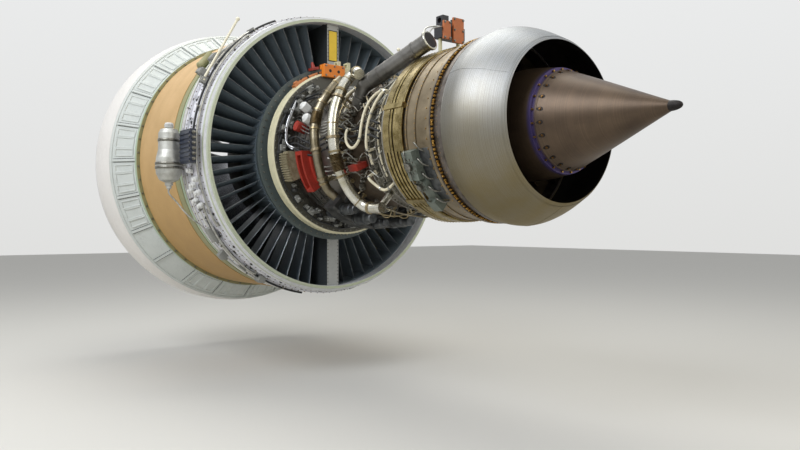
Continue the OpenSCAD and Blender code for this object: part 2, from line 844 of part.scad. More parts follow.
// Solid out to the core cases, grown by a clearance
module core_envelope(grow)
  turned(concat([[0, core_line[0][0] - 10]], [[core_line[0][1] + grow, core_line[0][0] - 10]],
                [for (p = core_line) [p[1] + grow, p[0]]],
                [[0, lpt_aft_x]]));

// Radius of the core cases at a station
function core_r(x, i = 0) =
  i >= len(core_line) - 1 ? core_line[len(core_line) - 1][1]
  : x <= core_line[i + 1][0]
    ? core_line[i][1] + (core_line[i + 1][1] - core_line[i][1])
        * (x - core_line[i][0]) / max(0.001, core_line[i + 1][0] - core_line[i][0])
    : core_r(x, i + 1);

module core_front_ring() {
  x_a = front_ring_x;
  x_b = comp_x + 14;
  color("wheat") {
    turned([[front_ring_r - 12, x_a], [front_ring_r, x_a], [front_ring_r, x_b - 14],
            [front_ring_r - 24, x_b], [700 + seat, x_b], [700 + seat, x_b - 10],
            [front_ring_r - 30, x_b - 10], [front_ring_r - 12, x_b - 20]]);
    for (k = [0:23])
      at_clock(k * 15 + 7.5)
        translate([x_a + 12, -4, 760])
          cube([x_b - x_a - 16, 8, front_ring_r - 768]);
  }
}

band_from = 13;
band_to = 42;
// Orange grip block behind the landing ring
grip_y = -298;
grip_w = 265;
grip_z = 792;
grip_h = 135;

module handling_band() {
  x_a = front_ring_x + 8;
  color("peru") {
    turned_arc([[front_ring_r + seat, x_a], [front_ring_r + 26, x_a],
                [front_ring_r + 26, x_a + 62], [front_ring_r + seat, x_a + 62]],
               band_from, band_to);
    at_clock(band_to - 3)
      translate([x_a + 31, 0, front_ring_r + 20])
        cylinder(r = 14, h = 22, $fn = 32);
  }
  color("darkorange")
    difference() {
      union() {
        translate([comp_x + 14, grip_y, grip_z])
          cube([52, grip_w, grip_h]);
        translate([x_a + 62, grip_y, grip_z + grip_h - 50])
          cube([comp_x - x_a - 20, 118, 50]);
      }
      translate([comp_x, grip_y + 0.3 * grip_w, grip_z + grip_h / 2])
        rotate([0, 90, 0])
          cylinder(r = 17, h = 100, $fn = 32);
      ring(0, front_ring_r + seat, 0, comp_x + 14);
    }
}

fwd_mount_w = 190;

module forward_mount() {
  z = front_ring_r + seat;
  x_a = front_ring_x + 2;
  color("palegoldenrod")
    difference() {
      union() {
        translate([x_a, -fwd_mount_w / 2, z - 16])
          cube([98, fwd_mount_w, 56]);
        for (s = [-1, 1])
          translate([x_a + 8, s * 62 - 18, z + 38])
            cube([80, 36, 78]);
      }
      translate([x_a + 48, fwd_mount_w, z + 78])
        rotate([90, 0, 0])
          cylinder(r = lug_bore_r, h = 2 * fwd_mount_w);
      ring(0, z, x_a - 10, comp_x + 30);
    }
}

// Plug with its peg on the hub frame's rim
module duct_plug() {
  z = hub_rim_r + seat;
  at_clock(17)
    difference() {
      union() {
        translate([-8, -55, z - 12])
          cube([42, 110, 40]);
        translate([12, 0, z + 20])
          cylinder(r1 = 26, r2 = 12, h = 66, $fn = 48);
      }
      ring(0, z, -60, 60);
    }
}

// Bore of the compressor case at a station
function comp_bore(x) =
  comp_tip_front_r + comp_gap
  + (comp_tip_rear_r - comp_tip_front_r) * (x - comp_x) / (combustor_x - comp_x);

// Radius of the compressor drum at a station
function comp_drum(x) =
  comp_hub_front_r + (comp_hub_rear_r - comp_hub_front_r) * (x - comp_x) / (combustor_x - comp_x);

module compressor_case() {
  x_b = combustor_x;
  collar = swan_outer(1) + frame_wall + seat;
  color("rosybrown") {
    turned([[702, 6 + seat], [716, 6 + seat], [690, comp_x - 14],
            [700, comp_x], [700, comp_x + 14], [comp_front_r, comp_x + 14],
            [comp_front_r, 330], [comp_rear_r, x_b - flange_t - 1],
            [front_flange_r, x_b - flange_t - 1], [front_flange_r, x_b], [comp_bore(x_b), x_b],
            [comp_bore(comp_x), comp_x + seat], [collar, comp_x + seat],
            [collar, comp_x - collar_len], [676, comp_x - collar_len]]);
    for (k = [0:11])
      turned_arc([[comp_front_r - 4, ring_x - 4], [ring_in_r, ring_x - 4],
                  [ring_in_r, ring_x + ring_w + 4], [comp_front_r - 4, ring_x + ring_w + 4]],
                 k * 30 - 2, k * 30 + 2);
    for (s = [0:comp_stages - 1])
      vane_row(comp_drum(comp_stator_x(s) + 22) + 8, comp_bore(comp_stator_x(s)),
               hidden_blades, 5, comp_stator_x(s), 22);
  }
}

comp_pitch = 80;
function comp_rotor_x(s) = comp_x + 24 + s * comp_pitch;
function comp_stator_x(s) = comp_rotor_x(s) + 46;

module combustor_case() {
  x_a = combustor_x;
  x_b = turb_x;
  color("tan") {
    turned([[comp_rear_r - core_wall, x_a], [front_flange_r, x_a],
            [front_flange_r, x_a + flange_t], [comp_rear_r + 8, x_a + flange_t],
            [combustor_r, x_a + 110], [combustor_r, x_b - flange_t],
            [turb_flange_r, x_b - flange_t], [turb_flange_r, x_b],
            [combustor_r - core_wall, x_b], [combustor_r - core_wall, x_a + 112],
            [comp_rear_r - core_wall, x_a + 14]]);
    turned([[300, x_a + 6], [312, x_a + 6], [312, x_b], [300, x_b]]);
    blade_spokes(306, comp_rear_r - 2, 12, 12, x_a + 8, 30);
  }
}

// Radial struts between an inner and an outer ring
module blade_spokes(r_a, r_b, count, thick, x, len)
  for (k = [0:count - 1])
    at_clock((k + 0.5) * 360 / count)
      translate([x, -thick / 2, r_a])
        cube([len, thick, r_b - r_a]);

liner_in_r = 350;
liner_out_r = 530;

module combustor_liner() {
  x_a = combustor_x + 110;
  x_b = turb_x - 14;
  t = 6;
  mid = (liner_in_r + liner_out_r) / 2;
  color("sienna")
    difference() {
      turned([[liner_in_r, x_b], [liner_in_r, x_a + 60], [liner_in_r + 40, x_a],
              [liner_out_r - 40, x_a], [liner_out_r, x_a + 60], [liner_out_r, x_b],
              [liner_out_r - t, x_b], [liner_out_r - t, x_a + 62],
              [liner_out_r - 42, x_a + t], [liner_in_r + 42, x_a + t],
              [liner_in_r + t, x_a + 62], [liner_in_r + t, x_b]]);
      for (k = [0:19])
        at_clock(k * 18)
          translate([x_a - 10, 0, mid])
            rotate([0, 90, 0])
              cylinder(r = 22, h = 40, $fn = 32);
    }
}

manifold_x = combustor_x + 130;

module fuel_manifold() {
  color("khaki") {
    rotate([0, 90, 0])
      translate([0, 0, manifold_x])
        rotate_extrude($fn = round_fn)
          translate([manifold_orbit, 0])
            circle(r = 10, $fn = 24);
    for (k = [0:19])
      at_clock(k * 18)
        translate([manifold_x, 0, combustor_r + seat]) {
          cylinder(r = 26, h = 12, $fn = 24);
          cylinder(r = 12, h = manifold_orbit - combustor_r + 16, $fn = 24);
        }
  }
}

module turbine_case_front() {
  x_a = turb_x;
  x_b = lpt_x;
  color("lavender") {
    turned([[liner_out_r - 6, x_a - 14], [liner_out_r + 6, x_a - 14],
            [liner_out_r + 6, x_a], [turb_flange_r, x_a], [turb_flange_r, x_a + flange_t],
            [combustor_r, x_a + flange_t], [combustor_r + 4, x_a + 80],
            [636, shroud_x], [shroud_r, shroud_x], [shroud_r, shroud_x + 16],
            [644, shroud_x + 16], [672, x_b - flange_t], [lpt_flange_r, x_b - flange_t],
            [lpt_flange_r, x_b], [646, x_b], [600, x_a + 300], [turb_blade_r + 8, x_a + 240],
            [turb_blade_r + 8, x_a + 20], [liner_out_r - 6, x_a + 4]]);
    vane_row(turb_disk_r + 10, turb_blade_r + 8, hidden_blades, 8, x_a + 26, 44);
    vane_row(turb_disk_r + 10, turb_blade_r + 8, hidden_blades, 8, x_a + 136, 40);
    turned([[liner_in_r - 6, x_a - 14], [liner_in_r + 6, x_a - 14],
            [turb_disk_r + 14, x_a + 24], [turb_disk_r + 14, x_a + 72],
            [turb_disk_r + 4, x_a + 72], [turb_disk_r + 4, x_a + 28]]);
    blade_spokes(400, 640, 10, 20, x_b - 90, 60);
    ring(390, 402, x_b - 100, x_b - 20);
    ring(core_bearing_r + seat, 396, x_b - 66, x_b - 54);
    ring(core_bearing_r + seat, core_bearing_r + 16, x_b - 80, x_b - 40);
  }
}

// Inner radius of the low-pressure turbine case at a station
function lpt_bore(x) = 646 + (lpt_rear_r - core_wall - 646) * (x - lpt_x) / (lpt_aft_x - lpt_x);
function lpt_rotor_x(s) = lpt_x + 30 + s * lpt_pitch;

module turbine_case() {
  x_a = lpt_x;
  x_b = lpt_aft_x;
  color("rosybrown") {
    turned([[646, x_a], [lpt_flange_r, x_a], [lpt_flange_r, x_a + flange_t],
            [lpt_front_r, x_a + flange_t], [lpt_front_r + 14, lpt_band_x - 10],
            [lpt_rear_r, lpt_band_x], [lpt_rear_r, x_b - 30],
            [lpt_rear_r + 30, x_b - 30], [lpt_rear_r + 30, x_b],
            [lpt_bore(x_b), x_b]]);
    for (x = lpt_band_xs)
      ring(lpt_rear_r - 2, lpt_rear_r + lpt_band_h, x, x + lpt_band_w);
    for (s = [0:lpt_stages - 2])
      vane_row(lpt_hub_r + 14, lpt_bore(lpt_rotor_x(s) + 86), hidden_blades, 7,
               lpt_rotor_x(s) + 56, 30);
  }
}

module flange_bolts() {
  color("gold") {
    for (k = [0:turbine_nut_count - 1])
      at_clock((k + 0.5) * 360 / turbine_nut_count)
        translate([lpt_aft_x - 30 - 22, 0, lpt_rear_r + 15])
          rotate([0, 90, 0])
            cylinder(r = 10, h = 22, $fn = 6);
    for (k = [0:plug_bolt_count - 1])
      at_clock((k + 0.5) * 360 / plug_bolt_count)
        translate([plug_joint_x - 30, 0, plug_joint_r + 8])
          rotate([0, 90, 0])
            cylinder(r = 8, h = 14, $fn = 6);
  }
}

// Exhaust

frame_strut_n = 13;
exhaust_hub_r = 392;

module exhaust_frame() {
  x_a = lpt_aft_x;
  x_b = nozzle_x;
  color("gray") {
    turned([[lpt_bore(x_a), x_a], [lpt_rear_r + 30, x_a], [lpt_rear_r + 30, x_a + flange_t],
            [lpt_rear_r + 6, x_a + flange_t], [nozzle_front_r - nozzle_t - 6, x_b - 14],
            [nozzle_front_r + 8, x_b - 14], [nozzle_front_r + 8, x_b],
            [nozzle_front_r - nozzle_t - 18, x_b]]);
    turned([[exhaust_hub_r - 14, x_a + 10], [exhaust_hub_r, x_a + 10],
            [exhaust_hub_r, x_b], [exhaust_hub_r - 14, x_b]]);
    for (k = [0:frame_strut_n - 1])
      at_clock((k + 0.5) * 360 / frame_strut_n)
        translate([x_a + 16, 0, exhaust_hub_r - 6])
          linear_extrude(lpt_rear_r - exhaust_hub_r)
            aerofoil_2d(84, 9, 5, 0);
    turned([[bearing_r + seat, x_a + 40], [exhaust_hub_r - 8, x_a + 60],
            [exhaust_hub_r - 8, x_a + 72], [bearing_r + seat, x_a + 52]]);
    ring(bearing_r + seat, bearing_r + 16, x_a + 24, x_a + 80);
  }
}

// Radius of the nozzle's outside from front (0) to exit (1)
function nozzle_r(s) =
  s < 0.3 ? nozzle_front_r + (nozzle_bulge_r - nozzle_front_r) * sin(90 * s / 0.3)
  : nozzle_exit_r + (nozzle_bulge_r - nozzle_exit_r)
      * (1 - pow((s - 0.3) / 0.7, 1.55));

module exhaust_nozzle() {
  n = 16;
  len = nozzle_exit_x - nozzle_x;
  color("silver")
    turned(concat(
      [for (i = [0:n]) [nozzle_r(i / n), nozzle_x + len * i / n]],
      [for (i = [n:-1:0]) [nozzle_r(i / n) - nozzle_t, nozzle_x + len * i / n]]));
}

// Radius of the plug's front part from the frame (0) to the cone's joint (1)
function plug_r(s) =
  exhaust_hub_r + 44 * sin(180 * pow(s, 0.8))
  - (exhaust_hub_r - plug_joint_r - 22) * s;

plug_t = 14;

module plug_front() {
  n = 12;
  len = plug_joint_x - 30 - nozzle_x;
  color("dimgray")
    turned(concat(
      [for (i = [0:n]) [plug_r(i / n), nozzle_x + len * i / n]],
      [[plug_joint_r - 6, plug_joint_x - 30], [plug_joint_r - 6, plug_joint_x],
       [plug_joint_r - 40, plug_joint_x], [plug_joint_r - 40, plug_joint_x - 30]],
      [for (i = [n:-1:0]) [plug_r(i / n) - plug_t, nozzle_x + len * i / n]]));
}

module plug_cone() {
  n = 6;
  len = plug_tip_x - plug_joint_x;
  r0 = plug_joint_r;
  color("saddlebrown")
    turned(concat(
      [[r0 - 10, plug_joint_x], [r0, plug_joint_x]],
      [[r0 - 12, plug_joint_x + 26], [r0 * (1 - 60 / len) - 1, plug_joint_x + 60],
       [40, plug_tip_x - 100], [34, plug_tip_x - 84], [12, plug_tip_x - 14], [0, plug_tip_x]],
      [[0, plug_tip_x - 90], [r0 - 40, plug_joint_x + 60], [r0 - 40, plug_joint_x]]));
}

// Mounts

aft_mount_x = 1850;
aft_mount_top = 1040;
aft_beam_w = 270;

module aft_mount() {
  x = aft_mount_x;
  color("dimgray")
    difference() {
      union() {
        translate([x, -aft_beam_w / 2, 880])
          cube([110, aft_beam_w, 110]);
        for (s = [-1, 1])
          translate([x + 10, s * 85 - 35, 980])
            cube([90, 70, aft_mount_top - 980 + 40]);
        for (s = [-1, 1])
          translate([lpt_x + flange_t + 1, s * 105 - 14, 640])
            cube([11, 28, 250]);
      }
      translate([x + 55, aft_beam_w, aft_mount_top])
        rotate([90, 0, 0])
          cylinder(r = lug_bore_r, h = 2 * aft_beam_w);
      core_envelope(seat);
    }
}

module mount_covers() {
  x = aft_mount_x + 110;
  color("chocolate") {
    translate([x, -132, 863])
      cube([22, 80, 160]);
    translate([x, -18, 846])
      cube([22, 122, 222]);
  }
}

// Ducts

duct_end = [2050, -350, 798];
duct_bend = [1330, -520, 506];
duct_axis = unit(duct_end - duct_bend);
duct_len = norm(duct_end - duct_bend);
duct_port = [1200, -500, 330];

// Stands children drawn along Z on a point, pointing along a direction
module aim(from, way)
  translate(from)
    rotate([0, acos(way[2] / norm(way)), atan2(way[1], way[0])])
      children();

module bleed_duct() {
  down = duct_port - duct_bend;
  color("dimgray")
    difference() {
      union() {
        aim(duct_bend, duct_axis)
          cylinder(r = bleed_duct_r, h = duct_len);
        aim(duct_end - 26 * duct_axis, duct_axis)
          cylinder(r = bleed_duct_r + 12, h = 26);
        translate(duct_bend)
          sphere(r = bleed_duct_r + 0.5);
        aim(duct_bend, down)
          cylinder(r = bleed_duct_r - 1, h = norm(down));
        aim(duct_bend + 0.55 * down, down)
          cylinder(r = bleed_duct_r + 14, h = 24);
      }
      aim(duct_bend + 0.25 * duct_len * duct_axis, duct_axis)
        cylinder(r = bleed_duct_r - bleed_wall, h = duct_len);
      core_envelope(seat);
    }
}

// Carries a route of [station, clock angle, radius] points into a smooth path
function pipe_path(route, steps = 3) =
  [for (q = curve(route, steps)) polar(q[0], q[1], q[2])];

cross_route = [[1400, 48, 860], [1330, 45.5, 866], [1250, 45, 856],
               for (q = [[1225, 52], [1245, 62], [1265, 75], [1290, 88], [1310, 100], [1325, 112],
                         [1345, 125], [1390, 134], [1480, 137.5]])
                 [q[0], q[1], cross_pipe_orbit],
               [1640, 138.5, cross_pipe_orbit - 10]];

module bleed_cross_pipe() {
  end = cross_route[len(cross_route) - 1];
  color("gainsboro") {
    tube(pipe_path(cross_route), cross_pipe_r, 12);
    at_clock(end[1])
      difference() {
        translate([end[0] - 36, 0, core_r(end[0]) - 40])
          cylinder(r = 34, h = cross_pipe_orbit - core_r(end[0]), $fn = 32);
        core_envelope(seat);
      }
  }
}

lower_route = [for (q = [[880, 38], [882, 46], [880, 56], [862, 66], [876, 78], [900, 90],
                         [925, 101], [915, 113], [910, 123]])
                 [q[0], q[1], lower_pipe_orbit],
               [950, 131, lower_pipe_orbit - 10]];

module bleed_lower_pipe() {
  color("darkkhaki") {
    tube(pipe_path(lower_route), lower_pipe_r, 12);
    for (a = [50, 118])
      at_clock(a)
        difference() {
          translate([896, 0, core_r(896) - 30])
            cylinder(r = 26, h = lower_pipe_orbit - core_r(896), $fn = 32);
          core_envelope(seat);
        }
  }
}

// Clamp ring round the straight stretch between two points of a pipe's path
module clamp_ring(path, i, r_pipe)
  aim((path[i] + path[i + 1]) / 2, path[i + 1] - path[i])
    difference() {
      cylinder(r = r_pipe + 12, h = 24, center = true, $fn = 48);
      cylinder(r = r_pipe + seat, h = 30, center = true, $fn = 48);
    }

module pipe_clamps() {
  color("tan") {
    for (i = [12, 18])
      clamp_ring(pipe_path(cross_route), i, cross_pipe_r);
    for (i = [7, 16, 21])
      clamp_ring(pipe_path(lower_route), i, lower_pipe_r);
  }
}

module bleed_valves() {
  color("white") {
    for (p = [[400, 56], [520, 67], [640, 230], [520, 300]])
      at_clock(p[1])
        difference() {
          translate([p[0], 0, core_r(p[0]) - 30]) {
            cylinder(r = 30, h = 120, $fn = 48);
            translate([0, 0, 90])
              cylinder(r = 48, h = 70, $fn = 48);
            translate([0, 0, 160])
              cylinder(r1 = 48, r2 = 26, h = 22, $fn = 48);
          }
          core_envelope(seat);
        }
  }
}

module port_covers() {
  color("firebrick") {
    difference() {
      union() {
        turned_arc([[600, 470], [770, 470], [770, 600], [580, 600]], 94, 126);
        turned_arc([[600, 430], [700, 430], [700, 640], [580, 640]], 99, 121);
      }
      turned_arc([[600, 500], [790, 500], [790, 570], [560, 570]], 97, 123);
      core_envelope(seat);
    }
    difference() {
      union() {
        turned_arc([[600, 1300], [740, 1300], [740, 1440], [600, 1440]], 109.5, 114);
        at_clock(73)
          translate([400, 0, 600])
            cylinder(r = 52, h = 150, $fn = 48);
      }
      core_envelope(seat);
    }
    duct_plug();
  }
}

module oil_cooler() {
  fins = 12;
  color("tan")
    difference() {
      union() {
        turned_arc([[600, 236], [806, 236], [806, 380], [600, 380]], 93, 115);
        for (k = [0:fins - 1])
          at_clock(94.5 + k * 19 / (fins - 1))
            translate([230, -6, 790])
              cube([156, 12, 34]);
      }
      core_envelope(seat);
      ring(0, ring_in_r + ring_t + 12, 100, ring_x + ring_w + 16);
    }
}

module cooling_tubes() {
  color("darkkhaki") {
    for (x = [1920:45:2145])
      turned([[lpt_front_r + 24, x - 6], [lpt_front_r + 30, x - 12], [lpt_front_r + 40, x - 12],
              [lpt_front_r + 46, x - 6], [lpt_front_r + 46, x + 6], [lpt_front_r + 40, x + 12],
              [lpt_front_r + 30, x + 12], [lpt_front_r + 24, x + 6]]);
    for (a = [10:65:335])
      at_clock(a)
        difference() {
          translate([1906, -22, lpt_front_r + 2])
            cube([252, 44, 56]);
          core_envelope(seat);
        }
  }
}

// Routes of the small tubes on the core as [station, clock angle, radius]
core_tube_routes = [
  [[1330, 84, 720], [1350, 92, 746], [1420, 97, 756], [1500, 97, 760], [1560, 92, 746],
   [1570, 82, 736], [1570, 72, 726], [1610, 63, 726], [1730, 58, 730]],
  [[1630, 100, 720], [1650, 88, 730], [1690, 76, 738], [1740, 66, 742], [1800, 60, 740]],
  [[1140, 99, 680], [1080, 90, 722], [1070, 80, 730], [1080, 70, 730], [1080, 58, 724],
   [1140, 45, 700]],
  [[730, 84, 640], [720, 76, 680], [700, 66, 700], [710, 54, 690], [740, 44, 660]],
  [[1530, 120, 720], [1590, 126, 730], [1680, 130, 740], [1790, 128, 740]],
  [[1140, 210, 680], [1200, 220, 730], [1420, 236, 740], [1640, 248, 744], [1790, 256, 740]],
  [[700, 250, 660], [800, 264, 700], [1000, 284, 726], [1240, 297, 730], [1420, 310, 700]]];

module core_tubes() {
  r = core_tube_r;
  color("ivory")
    for (route = core_tube_routes) {
      ends = [route[0], route[len(route) - 1]];
      feet = [for (p = ends) [p[0], p[1], core_r(p[0]) + boss_h + 0.5]];
      tube(pipe_path(concat([feet[0]], route, [feet[1]])), r, 6);
      for (p = ends)
        difference() {
          at_clock(p[1])
            translate([p[0], 0, core_r(p[0]) - 40])
              cylinder(r = r + 7, h = 40 + boss_h, $fn = 24);
          core_envelope(seat);
        }
    }
}

// Accessory drive

gearbox_x = 640;
gearbox_w = 190;
gearbox_from = 138;
gearbox_to = 222;

module gearbox() {
  r_a = gearbox_inner_r;
  r_b = gearbox_inner_r + gearbox_depth;
  color("slategray")
    difference() {
      union() {
        turned_arc([[r_a, gearbox_x], [r_b - 20, gearbox_x], [r_b, gearbox_x + 20],
                    [r_b, gearbox_x + gearbox_w - 20], [r_b - 20, gearbox_x + gearbox_w],
                    [r_a, gearbox_x + gearbox_w]], gearbox_from, gearbox_to);
        for (a = [gearbox_from + 12, 180, gearbox_to - 12])
          at_clock(a)
            translate([gearbox_x + 60, -22, 480])
              cube([50, 44, r_a - 470]);
      }
      core_envelope(seat);
    }
}

// Stations, clock angles, radii and lengths of what is bolted to the gearbox
rear_units = [[146, 52, 210], [160, 62, 260], [177, 48, 180], [194, 66, 300], [212, 54, 220]];
front_units = [[150, 50, 150], [166, 40, 110], [197, 58, 190], [214, 44, 120]];

module accessories() {
  orbit = gearbox_inner_r + 66;
  color("darkgray") {
    for (u = rear_units)
      at_clock(u[0])
        translate([gearbox_x + gearbox_w, 0, orbit + 4])
          rotate([0, 90, 0])
            unit_body(u[1], u[2]);
    for (u = front_units)
      at_clock(u[0])
        translate([gearbox_x, 0, orbit + 4])
          rotate([0, -90, 0])
            unit_body(u[1], u[2]);
  }
}

// Flanged cylindrical unit drawn along Z
module unit_body(r, len)
  rotate_extrude($fn = 64)
    polygon([[0, 0], [r + 10, 0], [r + 10, 14], [r, 14], [r, len * 0.62],
             [r * 0.8, len * 0.68], [r * 0.8, len - 10], [r * 0.7, len], [0, len]]);

module drive_shaft_housing() {
  orbit = gearbox_inner_r + 66;
  color("gray")
    at_clock(181)
      difference() {
        union() {
          translate([240, 0, orbit])
            rotate([0, 90, 0])
              cylinder(r = 34, h = gearbox_x - 240);
          translate([gearbox_x - 16, 0, orbit])
            rotate([0, 90, 0])
              cylinder(r = 46, h = 16);
          translate([284, 0, ring_in_r + ring_t + 14])
            cylinder(r = 44, h = orbit - ring_in_r - ring_t + 30);
          translate([220, -50, orbit - 46])
            cube([30, 100, 92]);
          translate([comp_x + 14, -30, orbit - 36])
            cube([40, 60, 72]);
        }
        core_envelope(seat);
      }
}

module cooling_air_valve() {
  r = lpt_rear_r;
  x = lpt_band_x + 90;
  color("darkolivegreen")
    difference() {
      union() {
        at_clock(113)
          translate([x, 0, r - 142]) {
            cylinder(r = 74, h = 230);
            translate([-60, -120, 170])
              cube([120, 240, 56]);
          }
        at_clock(126)
          translate([x + 10, 0, r - 142])
            cylinder(r = 56, h = 210);
        turned_arc([[r - 42, x - 50], [r + 28, x - 50],
                    [r + 28, x + 60], [r - 42, x + 60]], 104, 144);
        at_clock(141)
          translate([x - 40, -56, r - 42])
            cube([100, 112, 120]);
      }
      core_envelope(seat);
    }
}

// Bearings and shafts

module bearing(shaft_r, seat_r, x, w) {
  difference() {
    ring(shaft_r + running, seat_r, x, x + w);
    for (x_cut = [x - over, x + w - 6])
      ring((shaft_r + seat_r) / 2 - 9, (shaft_r + seat_r) / 2 + 9, x_cut, x_cut + 6 + over);
  }
}

module bearings() {
  color("lightsteelblue") {
    bearing(lp_shaft_r, bearing_r, -310, 50);
    bearing(core_shaft_r, core_bearing_r, 124, 44);
    bearing(core_shaft_r, core_bearing_r, lpt_x - 78, 36);
    bearing(lp_shaft_r, bearing_r, lpt_aft_x + 28, 48);
  }
}

shaft_front_x = -1640;
shaft_rear_x = lpt_aft_x + 84;

module lp_shaft() {
  color("steelblue")
    ring(lp_shaft_r - 22, lp_shaft_r, shaft_front_x, shaft_rear_x);
}

spinner_t = 8;

module spinner() {
  n = 8;
  len = fan_hub_x - spinner_tip_x;
  color("dimgray")
    turned(concat(
      [for (i = [0:n]) [fan_hub_front_r * pow(i / n, 0.62) , spinner_tip_x + len * i / n]],
      [[fan_hub_front_r - spinner_t - 6, fan_hub_x]],
      [for (i = [n - 1:-1:1])
         [max(0, fan_hub_front_r * pow(i / n, 0.62) - spinner_t - 6),
          spinner_tip_x + len * i / n + 4]],
      [[0, spinner_tip_x + 22]]));
}

hub_rear_x = -1310;

// Fan hub line between its front and rear faces
function hub_r(s) = fan_hub_front_r + (fan_hub_rear_r - fan_hub_front_r) * s;

module fan_disk() {
  x_f = booster_front_x - 20;
  x_r = booster_front_x + booster_stages * booster_pitch - 54;
  color("slategray") {
    turned([[fan_hub_front_r, fan_hub_x], [fan_hub_rear_r, hub_rear_x],
            [booster_hub_r - 6, x_f], [booster_hub_r, x_f + 10], [booster_hub_r, x_r],
            [booster_hub_r - 24, x_r], [booster_hub_r - 24, x_f + 10],
            [fan_hub_rear_r - 26, hub_rear_x + 10],
            [300, hub_rear_x - 60], [160, hub_rear_x - 40], [lp_shaft_r + running, hub_rear_x - 40],
            [lp_shaft_r + running, hub_rear_x - 260], [180, hub_rear_x - 260],
            [fan_hub_front_r - 50, fan_hub_x + 20],
            [fan_hub_front_r - 50, fan_hub_x]]);
    for (s = [0:booster_stages - 1])
      paddle_wheel(booster_hub_r - 10, booster_case_r - 4, hidden_blades, 7,
                   booster_front_x + 8 + s * booster_pitch, 40);
  }
}

// Fan blade sections from root (0) to tip (1)
function blade_chord(s) = blade_root_chord + (blade_tip_chord - blade_root_chord) * ease(s);
function blade_angle(s) = 16 + 46 * pow(s, 0.85);
function blade_sweep(s) = 70 * s * s - 60 * s;
function blade_thick(s) = 30 - 22 * s;
blade_x = (fan_hub_x + hub_rear_x) / 2;

// Radius of the fan hub under a station
function hub_at(x) = hub_r(min(1, max(0, (x - fan_hub_x) / (hub_rear_x - fan_hub_x))));

// Point of a section, wrapped round the centreline; the root lies along the hub
function blade_point(p, s) =
  let (a = blade_angle(s),
       u = p[0] - blade_chord(s) * 0.5,
       x = u * cos(a) - p[1] * sin(a) + blade_x + blade_sweep(s),
       root = hub_at(x) + blade_seat,
       r = root + (fan_tip_r - root) * s,
       arc = (u * sin(a) + p[1] * cos(a)) / r * 180 / PI)
  [x, -r * sin(arc), r * cos(arc)];

// Gap between a blade's root and the hub
blade_seat = 0.9;
blade_sections = 6;
blade_half = 5;

// Triangles that close a blade's end, from nose to tail
function blade_end(n, h) =
  concat([[0, 1, n - 1]],
         [for (k = [1:h - 2]) for (f = [[k, k + 1, n - k], [k + 1, n - k - 1, n - k]]) f],
         [[h - 1, h, h + 1]]);

module fan_blade() {
  m = blade_sections;
  n = 2 * blade_half;
  points = [for (j = [0:m])
              for (p = aerofoil(blade_chord(j / m), blade_thick(j / m), blade_half, 22))
                blade_point(p, j / m)];
  walls = [for (j = [0:m - 1])
             for (k = [0:n - 1])
               let (a = j * n + k, b = j * n + (k + 1) % n, c = a + n, d = b + n)
                 for (f = k < blade_half ? [[a, c, b], [b, c, d]] : [[a, c, d], [a, d, b]])
                   f];
  root = blade_end(n, blade_half);
  tip = [for (f = root) [m * n + f[2], m * n + f[1], m * n + f[0]]];
  polyhedron(points, concat(root, walls, tip));
}

module fan_blades() {
  color("lightslategray")
    for (k = [0:fan_blade_count - 1])
      at_clock(k * 360 / fan_blade_count)
        fan_blade();
}

module lp_turbine_rotor() {
  x_d = lpt_aft_x - 200;
  color("peru") {
    for (s = [0:lpt_stages - 1])
      paddle_wheel(lpt_hub_r - 10, lpt_bore(lpt_rotor_x(s)) - 6,
                   s == lpt_stages - 1 ? 2 * hidden_blades : hidden_blades, 8, lpt_rotor_x(s), 36);
    turned([[lpt_hub_r - 26, lpt_rotor_x(0) - 4], [lpt_hub_r, lpt_rotor_x(0) - 4],
            [lpt_hub_r, lpt_rotor_x(lpt_stages - 1) + 44],
            [lpt_hub_r - 26, lpt_rotor_x(lpt_stages - 1) + 44]]);
    turned([[lp_shaft_r + running, x_d], [lp_shaft_r + 35, x_d], [lpt_hub_r - 20, x_d - 80],
            [lpt_hub_r - 20, x_d - 55], [lp_shaft_r + 35, x_d + 26],
            [lp_shaft_r + 35, x_d + 110], [lp_shaft_r + running, x_d + 110]]);
  }
}

module compressor_rotor() {
  x_b = comp_rotor_x(comp_stages - 1) + 44;
  rim = comp_drum(x_b);
  bore = 200;
  color("lightsteelblue") {
    turned([[core_shaft_r - 24, 116], [core_shaft_r, 116], [core_shaft_r, 176],
            [comp_hub_front_r - 6, comp_x + 16], [comp_hub_front_r, comp_x + 20],
            [rim, x_b], [rim - 20, x_b], [comp_hub_front_r - 20, comp_x + 34],
            [core_shaft_r, bore], [core_shaft_r - 24, bore]]);
    for (s = [0:comp_stages - 1])
      paddle_wheel(comp_drum(comp_rotor_x(s)) - 6, comp_bore(comp_rotor_x(s) + 34) - comp_gap,
                   hidden_blades, 5, comp_rotor_x(s), 34);
    turned([[rim - 22, x_b - 30], [rim - 4, x_b - 30], [rim - 4, x_b],
            [bore, x_b + 60], [bore, turb_x + 60], [bore - 16, turb_x + 60],
            [bore - 16, x_b + 52], [rim - 22, x_b - 10]]);
  }
}

module core_turbine_rotor() {
  x = turb_x;
  color("burlywood") {
    for (s = [0, 1])
      paddle_wheel(turb_disk_r - 10, turb_blade_r, hidden_blades, 9, x + 84 + s * 106, 42);
    ring(turb_disk_r - 40, turb_disk_r, x + 80, x + 236);
    for (s = [0, 1])
      ring(140, turb_disk_r - 36, x + 90 + s * 106, x + 118 + s * 106);
    turned([[184, x + 60], [200, x + 60], [200, x + 92], [184, x + 92]]);
    turned([[core_shaft_r - 24, x + 214], [150, x + 214], [150, x + 232],
            [core_shaft_r, x + 250], [core_shaft_r, lpt_x - 34], [core_shaft_r - 24, lpt_x - 34]]);
  }
}

// Variable vane actuation

ring_lever_count = 36;

